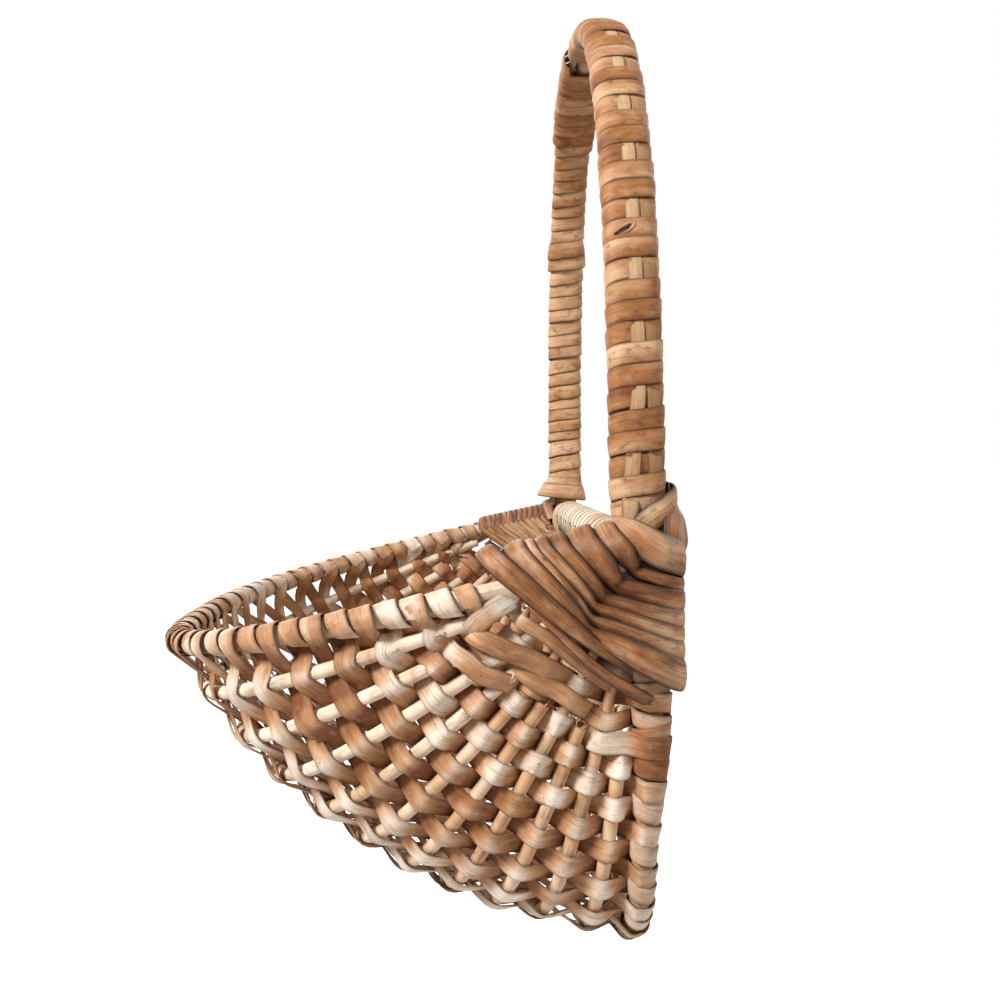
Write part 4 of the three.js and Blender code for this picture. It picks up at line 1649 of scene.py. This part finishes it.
SLANTED_WRAP = LooseStrip(0.26, 0.1, (
    ((134.6, -3.4, 8.5), (1, -0.1, 0.1), 9.0),
    ((138.4, 1.8, 13.4), (1, 0.0, 0.1), 9.4),
    ((138.0, 7.0, 16.8), (0.85, 0.5, 0.1), 9.4),
    ((131.5, 11.0, 20.5), (0.1, 1, 0), 9.0),
    ((126.8, 7.6, 23.0), (-0.85, 0.5, 0), 6.5),
))
BROWN_WRAP = LooseStrip(0.75, 0.15, (
    ((141.0, -7.5, 4.6), (0.9, -0.3, 0.3), 3.5),
    ((143.9, -1.0, -2.0), (1, 0, 0.2), 4.6),
    ((143.0, 6.0, -5.0), (0.9, 0.4, 0.1), 4.6),
    ((137.0, 11.0, -6.2), (0.1, 1, 0), 4.2),
))
# The thin end of the strip, which runs down to the post below the wide turn
TAIL = LooseStrip(0.45, 0.3, (
    ((143.0, -42.0, -15.0), (1, -0.2, 0), 2.0),
    ((145.4, -33.0, -23.4), (1, -0.1, -0.2), 3.0),
    ((145.2, -20.0, -36.0), (1, 0, -0.2), 3.6),
    ((144.6, -10.0, -43.4), (1, 0, -0.15), 4.6),
    ((142.4, -2.6, -48.2), (0.9, 0.3, -0.3), 5.0),
    ((137.5, 1.5, -50.5), (0.6, 0.7, -0.4), 3.4),
))
# A plain strip round the rim's end and the post, where there is no broad one
FOOT_WRAP = LooseStrip(0.35, 0.2, (
    ((123.5, -7.0, -3.0), (-1, 0, 0), 7.0),
    ((129.0, -9.0, 4.0), (-0.5, -0.3, 0.8), 7.0),
    ((136.0, -7.0, 7.4), (0.2, -0.1, 0.97), 8.0),
    ((142.0, -1.0, 4.6), (0.9, 0.1, 0.4), 9.0),
    ((143.2, 5.0, 1.2), (0.9, 0.4, 0.1), 9.5),
    ((137.0, 11.6, -0.6), (0.05, 1, 0), 9.5),
    ((128.5, 10.4, -1.8), (-0.75, 0.65, 0), 9.5),
    ((124.0, 3.0, -3.0), (-1, 0, 0), 8.0),
))


@dataclass
class CornerLashing:
    """A broad lashing that ties the rim, the rib tips and the post together at one corner."""

    near: bool = True
    turns: tuple[LashingTurn, ...] = (
        LashingTurn(16.1, 9.0, (5.5, 4.0), 5.0, 9.6, 5.0, 0.0),
        LashingTurn(24.9, 10.5, (12.1, 8.7), 7.6, 15.2, 7.8, 0.3),
        LashingTurn(32.8, 7.4, (17.0, 13.1), 6.8, 21.6, 7.0, 0.6),
        LashingTurn(38.3, 6.4, (19.8, 15.8), 5.6, 27.2, 6.6, 0.9),
        LashingTurn(42.4, 5.4, (21.3, 19.6), 5.0, 33.0, 7.2, 1.2),
        LashingTurn(46.9, 7.8, (21.8, 23.4), 4.6, 41.5, 11.0, 1.6),
    )
    loose: tuple[LooseStrip, ...] = (
        TORN_END, BROAD_WRAP, OUTER_WRAP, SLANTED_WRAP, BROWN_WRAP, TAIL,
    )
    rim_slope: float = math.tan(BasketShape.rim_tilt)
    ridge_height: float = 14.6
    ridge_tilt: float = 0.42
    under_width: float = 9.5
    under_depth: float = 3.6
    under_shade_tone: float = 0.85
    under_shade_deepen: float = 0.15
    turn_tones: Pair = (0.36, 0.68)
    turn_deepen: float = -0.3
    thinnest: float = 0.12
    span_steps: int = 6
    rim_x: float = 138.0
    face_x: float = 146.0
    inner_x: float = 125.5
    post_reach: float = 11.6
    section: Section = Section(8.0, 1.1, 0.5, 0.55, 14)
    depth: float = 0.0
    crease_shade: float = 0.25
    seed: int = 5
    far_seed: int = 45

    @classmethod
    def for_far_corner(cls, count: int = 13) -> "CornerLashing":
        """The far corner's lashing: narrower turns that lie closer to the rim.

        Args:
            count: how many turns it has.

        Returns:
            The lashing.
        """
        turns = []
        for k in range(count):
            ridge, post = 10.0 + 3.3 * k, 9.0 + 2.7 * k
            crease = (0.46 * ridge, 0.5 * post + 1.0)
            turns.append(LashingTurn(ridge, 4.6, crease, 2.8, post, 4.2, 0.08 * k))
        return cls(near=False, turns=tuple(turns), loose=(FOOT_WRAP,), ridge_height=7.0, face_x=144.5,
                   depth=0.05)

    def turn_controls(self, turn: LashingTurn) -> list[Control]:
        """A turn's control points, each with its facing direction and its width.

        Args:
            turn: the turn.

        Returns:
            Tuples of a point, a direction, a width and how much deeper the colour is, as painted shade
            towards the crease.
        """
        rim_z = -turn.ridge * self.rim_slope
        over, face = turn.lift * 0.5, self.face_x + turn.lift
        ridge = np.array([-turn.ridge, rim_z + self.ridge_height + over])
        crease = -np.array(turn.crease)
        post = np.array([self.post_reach, -turn.post])
        slope = unit(crease - ridge)
        inside = np.array([-turn.ridge, rim_z])
        wide, narrow, low = turn.ridge_width, turn.crease_width, turn.post_width

        shoulder = ridge + slope * 3.2 + np.array([0, -1.2])
        behind = np.array([-8.0, -turn.post])
        tilt = -self.ridge_tilt
        rows = (
            (129.5, inside + [0, 0.5], (-1, 0, 0.15), wide, 0.0),
            (131.5, blend_between(inside, ridge, 0.62), (-0.9, tilt / 2, 0.4), wide, 0.0),
            (self.rim_x, ridge, (0, tilt, 0.9), wide, 0.0),
            (face - 1.8, shoulder, (0.8, tilt, 0.5), wide, 0.0),
            (face + 1.6, blend_between(ridge, crease, 0.5), (1, -0.3, 0.0), wide * 0.92, 0.3),
            (face + 0.6, blend_between(ridge, crease, 0.78), (0.9, -0.4, -0.2), (wide + narrow) / 2, 0.7),
            (face - 1.0, crease, (0.75, -0.6, -0.4), narrow, 1.0),
            (face + 0.6, blend_between(crease, post, 0.25), (0.95, -0.2, -0.4),
             blend_between(narrow, low, 0.6), 0.8),
            (face + 1.2, blend_between(crease, post, 0.6), (1, 0.05, -0.22), low * 0.95, 0.4),
            (face - 2.6, blend_between(crease, post, 0.92), (0.75, 0.66, -0.1), low, 0.0),
            (137.0, post + [0.8, 0], (0.05, 1, 0), low, 0.0),
            (129.0, post - [1.2, 0], (-0.75, 0.66, 0), low, 0.0),
            (self.inner_x, behind, (-1, 0.1, 0), low * 0.9, 0.0),
            (self.inner_x + 1.5, blend_between(inside - [0, 3.0], behind, 0.5), (-1, 0, 0), wide * 0.9, 0.0),
        )
        return [((x, float(y), float(z)), facing, width, shade * self.crease_shade)
                for x, (y, z), facing, width, shade in rows]

    def under_layer(self) -> list[Strand]:
        """The earlier turns, flat and coloured dark as painted shade, that show in the folds of the later
        ones.

        Returns:
            One strand for each turn but the first.
        """
        x = self.face_x - self.under_depth
        strands = []
        for turn in self.turns[1:]:
            rim_top = -turn.ridge * self.rim_slope + self.ridge_height
            ridge = np.array([-turn.ridge + 2.0, rim_top - 4.0])
            crease = -np.array(turn.crease) + [1.5, 1.0]
            post = np.array([self.post_reach - 3.0, -turn.post])
            over, under = blend_between(ridge, crease, 0.5), blend_between(crease, post, 0.5)
            controls = [((x, float(y), float(z)), (1, 0, 0), self.under_width)
                        for y, z in (ridge, over, crease, under, post)]
            # Painted shade: the earlier turns are dark where they show in the folds.
            strands.append(self.strand(controls, self.under_shade_tone, self.under_shade_deepen))
        return strands

    def strand(self, controls: Sequence[Control], tone: float, deepen: float) -> Strand:
        """Runs a smooth strip through control points and mirrors it for the far corner.

        Args:
            controls: points with directions, widths and, where it changes, how much deeper the colour is as
                painted shade.
            tone: how deep its colour is at the start.
            deepen: how much deeper it is at the end.

        Returns:
            The strand.
        """
        points = np.array([c[0] for c in controls], float)
        facing = unit(np.array([c[1] for c in controls], float))
        widths = np.array([c[2] for c in controls], float) / self.section.width
        # Painted shade, which the turns give towards their crease.
        painted_light = np.array([c[3] if len(c) > 3 else 0.0 for c in controls])
        carried = np.column_stack([widths, painted_light])
        fine, faced, numbers = smooth_path(points, facing, self.span_steps, carried)
        if not self.near:
            fine, faced = fine * [-1, 1, 1], faced * [-1, 1, 1]
        tones = tone + self.depth + deepen * np.linspace(0, 1, len(fine)) + numbers[:, 1]
        girth = np.maximum(numbers[:, 0], self.thinnest)
        return Strand(fine, faced, girth=girth, tones=np.clip(tones, 0, 1))

    def wound(self) -> list[Strand]:
        """The nested turns, one long strip.

        Returns:
            One strand for each turn, which ends where the next one begins.
        """
        chance = np.random.default_rng(self.seed if self.near else self.far_seed)
        strands = []
        for turn, following in zip(self.turns, self.turns[1:] + (None,)):
            controls = self.turn_controls(turn)
            if following is not None:
                controls.append(self.turn_controls(following)[0])
            strands.append(self.strand(controls, float(chance.uniform(*self.turn_tones)), self.turn_deepen))
        return strands

    def build(self) -> None:
        """Builds the lashing."""
        corner = "near" if self.near else "far"
        strands = [*self.wound(), *self.under_layer()]
        strands += [self.strand(loose.controls, loose.tone, loose.deepen) for loose in self.loose]
        piece = sweep(f"{corner}_corner_ear", strands, self.section, LASHING_FINISH)
        place(piece, Slot.CORNER_CANE, f"corner_lashing_{corner}")


# The wrapped handle.


@dataclass
class Handle:
    """The arch's winding: one long strip round the hoop and its side rods, over and under two splints.

    The strip goes over both splints for two turns and under them for the third, so a pale window shows.
    """

    shape: BasketShape = field(default_factory=BasketShape)
    near_start: float = 8.0
    bare_foot: float = 20.5
    far_end: float = 9.5
    pitch: float = 7.6
    first_window: float = 31.7
    half_across: float = 9.4
    over_splints: float = 5.6
    under_splints: float = 4.7
    squareness: float = 2.7
    collars: tuple[tuple[float, float, float, float], ...] = (
        (14.0, 150.0, -0.3, -0.4), (150.0, 162.0, 0.4, 1.3), (162.0, 223.0, -0.6, -0.6),
        (223.0, 289.0, 1.2, 1.3),
    )
    collar_fade: float = 1.0
    bare_patch: Pair = (289.0, 302.0)
    strip: Section = Section(7.75, 0.85, 0.12, 0.5)
    splint: Section = Section(5.3, 0.9, 0.1, 0.4, 10)
    splint_places: Pair = (0.4, 5.7)
    splint_tilts: Pair = (0.0, 0.35)
    splint_tones: Pair = (0.15, 0.9)
    splint_swerves: Pair = (6.0, 0.0)
    splint_ends: Pair = (7.5, 6.0)
    splint_step: float = 1.9
    splint_sink: float = 0.05
    splint_settle: float = 2.4
    flare: float = 4.7
    last_level: float = 3.8
    level_turns: float = 0.45
    flare_length: float = 16.0
    flare_power: float = 1.6
    lean: float = 0.07
    flare_lean: float = 0.3
    wander: float = 0.28
    loose: float = 0.45
    tone_range: Pair = (0.28, 0.6)
    foot_pale: float = 0.2
    window_half: float = 0.4
    window_fade: float = 0.2
    beside_window: float = 0.25
    bleached: Triple = (140.0, 230.0, 0.24)
    far_leg: Pair = (185.0, 225.0)
    far_wander: float = 3.6
    far_girth: float = 1.22
    far_lean: float = 0.05
    far_evenness: float = 0.5
    knot_place: Pair = (115.6, -2.8)
    knot_size: Pair = (3.4, 1.4)
    knot_slope: float = 0.5
    lip_bend: Pair = (-2.2, 2.4)
    lip_steps: int = 19
    slit_rise: tuple[float, ...] = (-0.1, 0.1, 0.0, 0.1, 0.1, 0.2, 0.1, 0.3, 0.2)
    slit_girth: tuple[float, ...] = (0.1, 0.5, 0.42, 0.52, 0.5, 0.46, 0.5, 0.36, 0.1)
    swerve_end: float = 60.0
    swerve_swell: float = 0.035
    side_rod_place: float = 6.4
    side_rod_radius: float = 1.9
    side_rod_ends: Pair = (9.5, 4.5)
    side_rod_step: float = 5.0
    side_rod_tone: float = 0.4
    axis_reach: float = 2.5
    turn_steps: int = 28
    seed: int = 23

    def __post_init__(self) -> None:
        """Prepares the arch's line."""
        self.line = self.shape.arch()

    def axes(self, lengths: np.ndarray) -> tuple[np.ndarray, np.ndarray, np.ndarray]:
        """The arch's direction, its outward normal and the way across it towards the wall.

        Args:
            lengths: lengths along the arch from the near corner.

        Returns:
            Three arrays of unit vectors.
        """
        along = self.line.direction(lengths, self.axis_reach)
        across = unit(TO_WALL - along * (along @ TO_WALL)[:, None])
        return along, np.cross(across, along), across

    def openness(self, lengths: np.ndarray) -> np.ndarray:
        """Tells where the strip goes under the splints.

        Args:
            lengths: lengths along the arch.

        Returns:
            1 where it goes under them and 0 where it goes over them.
        """
        phase = (lengths - self.first_window) / (3 * self.pitch)
        away = np.abs(phase - np.round(phase)) * 3
        window = 1 - np.clip((away - self.window_half) / self.window_fade, 0, 1)
        return np.maximum(window, lengths < self.bare_foot)

    def collar_lift(self, from_far: np.ndarray) -> np.ndarray:
        """How much thicker the winding is in its collars.

        Args:
            from_far: lengths along the arch from the far corner.

        Returns:
            The extra thickness, below 0 where it is thinner.
        """
        fade = self.collar_fade
        return sum(np.interp(from_far, (low - fade, low, high, high + fade), (0, first, last, 0))
                   for low, high, first, last in self.collars)

    def around(self, turn: np.ndarray, lengths: np.ndarray, window: np.ndarray,
               swell: np.ndarray) -> tuple[np.ndarray, np.ndarray]:
        """Points round the handle, a squared-off oval, and the way out of it.

        Args:
            turn: the turns made so far.
            lengths: lengths along the arch.
            window: 1 where the strip goes under the splints.
            swell: how far it stands off the rods.

        Returns:
            Points and unit directions.
        """
        angle = FULL_TURN * turn
        along, outward, across = self.axes(lengths)
        sine, cosine = np.sin(angle), -np.cos(angle)
        beside = np.clip((cosine + self.beside_window) / self.window_fade, 0, 1)
        outer = blend_between(self.over_splints, self.under_splints, window * beside)
        reach = np.where(sine > 0, outer, self.under_splints)
        y = (self.half_across + swell) * signed_power(cosine, self.squareness)
        n = (reach + swell) * signed_power(sine, self.squareness)
        points = self.line.at(lengths) + across * y[:, None] + outward * n[:, None]
        power = 2 * (self.squareness - 1) / self.squareness
        ny = np.sign(cosine) * np.abs(cosine) ** power / self.half_across
        nn = np.sign(sine) * np.abs(sine) ** power / self.over_splints
        return points, unit(across * ny[:, None] + outward * nn[:, None])

    def winding(self) -> list[Strand]:
        """The long strip, from the near leg's foot over the arch to the far leg's foot.

        Returns:
            Its two strands, with a bare patch between them under the arch's top.
        """
        chance = np.random.default_rng(self.seed)
        end = self.line.length - self.far_end
        turns = (end - self.near_start) / self.pitch + self.level_turns
        turn = np.linspace(0, turns, int(turns * self.turn_steps) + 1)
        whole = np.arange(int(turns) + 2)
        wander = np.interp(turn, whole, chance.normal(0, self.wander, len(whole)))
        slack = np.interp(turn, whole, chance.uniform(0, self.loose, len(whole)))
        tones = np.interp(turn, whole, chance.uniform(*self.tone_range, len(whole)))
        reached = self.near_start + self.pitch * turn
        leg_full, leg_none = self.far_leg
        far = np.clip((leg_none - self.line.length + reached) / (leg_none - leg_full), 0, 1)
        wander = wander * (1 + (self.far_wander - 1) * far)
        lengths = np.minimum(reached + wander, end - self.last_level)
        from_far = self.line.length - lengths
        middle = self.near_start + self.pitch * (np.floor(turn) + 0.25)
        window = self.openness(middle)
        beside_knot = np.clip(np.abs(middle - self.knot_place[0]) / self.pitch - 0.5, 0, 1)
        lift = self.collar_lift(from_far) + slack * (1 - window) * beside_knot
        flare = np.clip(1 + (reached - reached[-1]) / self.flare_length, 0, 1) ** self.flare_power
        points, facing = self.around(turn, lengths, window, lift + flare * self.flare)
        lean = self.lean + self.flare_lean * flare + self.far_lean * far
        facing = unit(facing - self.line.direction(lengths, self.axis_reach) * lean[:, None])
        tones = tones + (tones.mean() - tones) * self.far_evenness * far
        tones = tones - self.foot_pale * (lengths < self.bare_foot)
        bleach_full, bleach_none, bleach = self.bleached
        tones = tones - bleach * np.clip((bleach_none - from_far) / (bleach_none - bleach_full), 0, 1)
        tones = np.maximum(tones, 0.0)
        girth = 1 + (self.far_girth - 1) * far
        low, high = self.bare_patch
        return [Strand(points[kept], facing[kept], girth[kept], tones=tones[kept])
                for kept in (from_far > high, from_far < low)]

    def splints(self) -> list[Strand]:
        """The two pale splints under the winding, lifted where it goes beneath them.

        Returns:
            The splint in the middle, and the one nearer the wall.
        """
        start, end = self.splint_ends
        lengths = self.line.part(start, self.line.length - end, self.splint_step)
        _, outward, across = self.axes(lengths)
        over = self.over_splints - self.splint_sink
        lift = blend_between(self.under_splints, over, self.openness(lengths))
        near_foot = np.clip((self.swerve_end - lengths) / self.swerve_end, 0, 1)
        strands = []
        for place_across, tilt, tone, far_swerve in zip(
                self.splint_places, self.splint_tilts, self.splint_tones, self.splint_swerves):
            swerve = near_foot * far_swerve
            spread = (place_across - swerve)[:, None]
            points = self.line.at(lengths) + across * spread + outward * lift[:, None]
            points = points - outward * (self.splint_settle * tilt)
            facing = unit(outward + across * tilt)
            strands.append(Strand(points, facing, 1 + self.swerve_swell * swerve, tone=tone))
        return strands

    def knot(self, aside: np.ndarray, rise: np.ndarray, height: float, girth: np.ndarray,
             tone: float) -> Strand:
        """A line round or through the knot hole in one of the near leg's turns.

        Args:
            aside: where the line runs along the hole, as shares of half its length.
            rise: where it runs across the hole, as shares of half its width.
            height: how far it stands over the strip's middle.
            girth: its half thickness at each point.
            tone: how deep its colour is.

        Returns:
            The strand.
        """
        length, middle = self.knot_place
        aside = self.knot_size[0] * aside
        lengths = length + self.knot_slope * aside + self.knot_size[1] * rise
        _, outward, across = self.axes(lengths)
        y = middle + aside
        share = 1 - np.abs(y / self.half_across) ** self.squareness
        n = self.over_splints * share ** (1 / self.squareness)
        points = self.line.at(lengths) + across * y[:, None] + outward * (n + height)[:, None]
        return Strand(points, outward, girth, tone=tone)

    def knot_hole(self) -> None:
        """Builds the raised lip of the knot hole, and the dark slit in it."""
        thin = 0.08 + 0.3 * np.sin(np.linspace(0, math.pi, self.lip_steps))
        bend = np.linspace(*self.lip_bend, self.lip_steps)
        lower = np.linspace(-0.9, 0.7, self.lip_steps)
        lips = [self.knot(np.cos(bend), np.sin(bend), 0.6, thin, 0.05),
                self.knot(lower, np.full(self.lip_steps, -0.5), 0.5, thin, 0.9)]
        place(sweep("knot_hole_lip", lips, THREAD, HANDLE_FINISH), Slot.HANDLE_CANE)
        aside = np.linspace(-1.2, 0.75, len(self.slit_rise))
        slit = self.knot(aside, np.array(self.slit_rise), 0.45, np.array(self.slit_girth), 0.8)
        place(sweep("knot_hole_slit", [slit], THREAD, KNOT_FINISH), Slot.HANDLE_CANE)

    def side_rods(self) -> list[Strand]:
        """The two thin rods beside the hoop, which make the handle broad.

        Returns:
            The rod on the room's side, and the one on the wall's side.
        """
        start, end = self.side_rod_ends
        lengths = self.line.part(start, self.line.length - end, self.side_rod_step)
        _, outward, across = self.axes(lengths)
        return [Strand(self.line.at(lengths) + across * (side * self.side_rod_place), outward,
                       tone=self.side_rod_tone) for side in (-1, 1)]

    def build(self) -> None:
        """Builds the winding, the splints, the knot hole and the side rods."""
        winding = sweep("handle_winding", self.winding(), self.strip, HANDLE_FINISH)
        place(winding, Slot.HANDLE_CANE, "handle_wrap_near_leg", "handle_wrap_arch",
              "handle_wrap_far_shoulder", "handle_wrap_far_leg")
        for number, strand in enumerate(self.splints()):
            piece = sweep(f"handle_splint_strip_{number + 1}", [strand], self.splint, SPLINT_FINISH)
            place(piece, Slot.PALE_SPLINT, f"handle_splint_{number + 1}")
        self.knot_hole()
        round_rod = Section(2 * self.side_rod_radius, 2 * self.side_rod_radius)
        for side, strand in zip(("front", "wall"), self.side_rods()):
            piece = sweep(f"handle_rod_{side}", [strand], round_rod, FRAME_FINISH)
            place(piece, Slot.RIB_ROD, f"handle_side_rod_{side}")


# The studio.


@dataclass(frozen=True)
class Lamp:
    """A soft square lamp.

    Args:
        name: its name.
        spot: where it stands, in metres.
        aim: what it points at.
        size: its side in metres.
        power: its power in watts.
        colour: its colour.
    """

    name: str
    spot: Triple
    aim: Triple
    size: float
    power: float
    colour: Triple

    def build(self) -> None:
        """Makes the lamp and turns it to its aim."""
        data = bpy.data.lights.new(self.name, "AREA")
        data.shape = "SQUARE"
        data.size = self.size
        data.energy = self.power
        data.color = self.colour
        lamp = bpy.data.objects.new(self.name, data)
        lamp.location = self.spot
        way = Vector(self.aim) - Vector(self.spot)
        lamp.rotation_euler = way.to_track_quat("-Z", "Y").to_euler()
        bpy.context.scene.collection.objects.link(lamp)


@dataclass(frozen=True)
class Studio:
    """The plain floor, the soft lamps and the camera. Its lengths are metres in the row frame."""

    floor_height: float = -0.78
    floor_half: float = 6.0
    floor_colour: tuple[float, ...] = (0.75, 0.73, 0.71, 1)
    floor_glow: tuple[float, ...] = (0.8, 0.8, 0.8, 1)
    shadow_reach: float = 2.2
    sky_colour: tuple[float, ...] = (1.0, 0.9, 0.8, 1)
    sky_strength: float = 0.075
    white: tuple[float, ...] = (1, 1, 1, 1)
    lamps: tuple[Lamp, ...] = (
        Lamp("key", (0.75, -1.15, 0.75), (0.02, -0.06, -0.2), 0.42, 39.5, (1.0, 0.975, 0.955)),
        Lamp("fill", (1.3, 0.9, 0.1), (0.0, -0.05, -0.2), 1.2, 8.5, (1.0, 0.94, 0.9)),
        Lamp("far_side", (-1.3, -0.5, 0.4), (0.0, -0.05, -0.2), 1.2, 8, (1.0, 0.96, 0.92)),
        Lamp("wall_side", (-0.5, 1.5, 0.7), (0.0, 0.0, -0.15), 1.2, 14, (1.0, 0.96, 0.92)),
    )
    eye: Triple = (0.4724, -0.0665, -0.1780)
    yaw: float = 0.065
    pitch: float = 0.047
    roll: float = -0.013
    lens: float = 35.14
    shift_x: float = -0.0183

    def floor(self) -> None:
        """Makes the pale floor, which the camera sees as white."""
        mesh = bpy.data.meshes.new("floor")
        r, z = self.floor_half, self.floor_height
        mesh.from_pydata([(-r, -r, z), (r, -r, z), (r, r, z), (-r, r, z)], [], [(0, 1, 2, 3)])
        floor = bpy.data.objects.new("floor", mesh)
        bpy.context.scene.collection.objects.link(floor)
        made = bpy.data.materials.new("pale_floor")
        made.use_nodes = True
        made.node_tree.nodes.clear()
        bench = Bench(made.node_tree)
        cloth = bench.make("ShaderNodeBsdfDiffuse", None, {"Color": self.floor_colour})
        spot = bench.make("ShaderNodeTexCoord")
        away = bench.make("ShaderNodeVectorMath", {"operation": "LENGTH"}, {0: spot.outputs["Object"]})
        plain = bench.ramp(bench.wire(away, "Value"), self.shadow_reach * 0.5, self.shadow_reach)
        tint = bench.mix_colours(plain, self.floor_glow, self.white)
        white = bench.make("ShaderNodeEmission", None, {"Color": tint, "Strength": 1.0})
        glow = bench.make("ShaderNodeAddShader", None, {0: cloth, 1: white})
        rays = bench.make("ShaderNodeLightPath")
        both = bench.make("ShaderNodeMixShader", None, {
            0: rays.outputs["Is Camera Ray"], 1: cloth, 2: glow,
        })
        bench.make("ShaderNodeOutputMaterial", None, {"Surface": both})
        mesh.materials.append(made)

    def world(self) -> None:
        """Makes the soft sky, which is white where the camera sees it."""
        world = bpy.data.worlds.new("studio_world")
        bpy.context.scene.world = world
        world.use_nodes = True
        world.node_tree.nodes.clear()
        bench = Bench(world.node_tree)
        sky = bench.make("ShaderNodeBackground", None, {
            "Color": self.sky_colour, "Strength": self.sky_strength,
        })
        white = bench.make("ShaderNodeBackground", None, {"Color": self.white, "Strength": 1.0})
        rays = bench.make("ShaderNodeLightPath")
        seen = bench.wire(rays, "Is Camera Ray") + bench.wire(rays, "Is Transmission Ray")
        seen = seen + bench.wire(rays, "Is Glossy Ray")
        both = bench.make("ShaderNodeMixShader", None, {
            0: seen.clamped(), 1: sky, 2: white,
        })
        bench.make("ShaderNodeOutputWorld", None, {"Surface": both})

    def camera(self) -> None:
        """Makes the camera at the photograph's viewing angle."""
        data = bpy.data.cameras.new("camera")
        data.sensor_width, data.lens = 36.0, self.lens
        data.shift_x = self.shift_x
        data.clip_start = 0.01
        camera = bpy.data.objects.new("camera", data)
        forward = Vector((
            -math.cos(self.yaw) * math.cos(self.pitch),
            math.sin(self.yaw) * math.cos(self.pitch),
            -math.sin(self.pitch),
        ))
        side = forward.cross(Vector((0, 0, 1))).normalized()
        above = side.cross(forward)
        turned = Matrix((side, above, -forward)).transposed()
        roll = Matrix.Rotation(self.roll, 3, "Z")
        camera.matrix_world = Matrix.Translation(self.eye) @ (turned @ roll).to_4x4()
        bpy.context.scene.collection.objects.link(camera)
        bpy.context.scene.camera = camera

    def build(self) -> None:
        """Sets up the whole studio."""
        self.floor()
        self.world()
        for lamp in self.lamps:
            lamp.build()
        self.camera()
        bpy.context.scene.view_settings.view_transform = "Standard"


def main() -> None:
    """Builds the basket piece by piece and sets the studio."""
    logging.basicConfig(level=logging.INFO, format="%(name)s: %(message)s")
    FrameRods().build()
    FrontRibs().build()
    FrontWeave().build()
    BackPanel().build()
    Handle().build()
    CornerLashing(near=True).build()
    CornerLashing.for_far_corner().build()
    Studio().build()


if __name__ == "__main__":
    main()
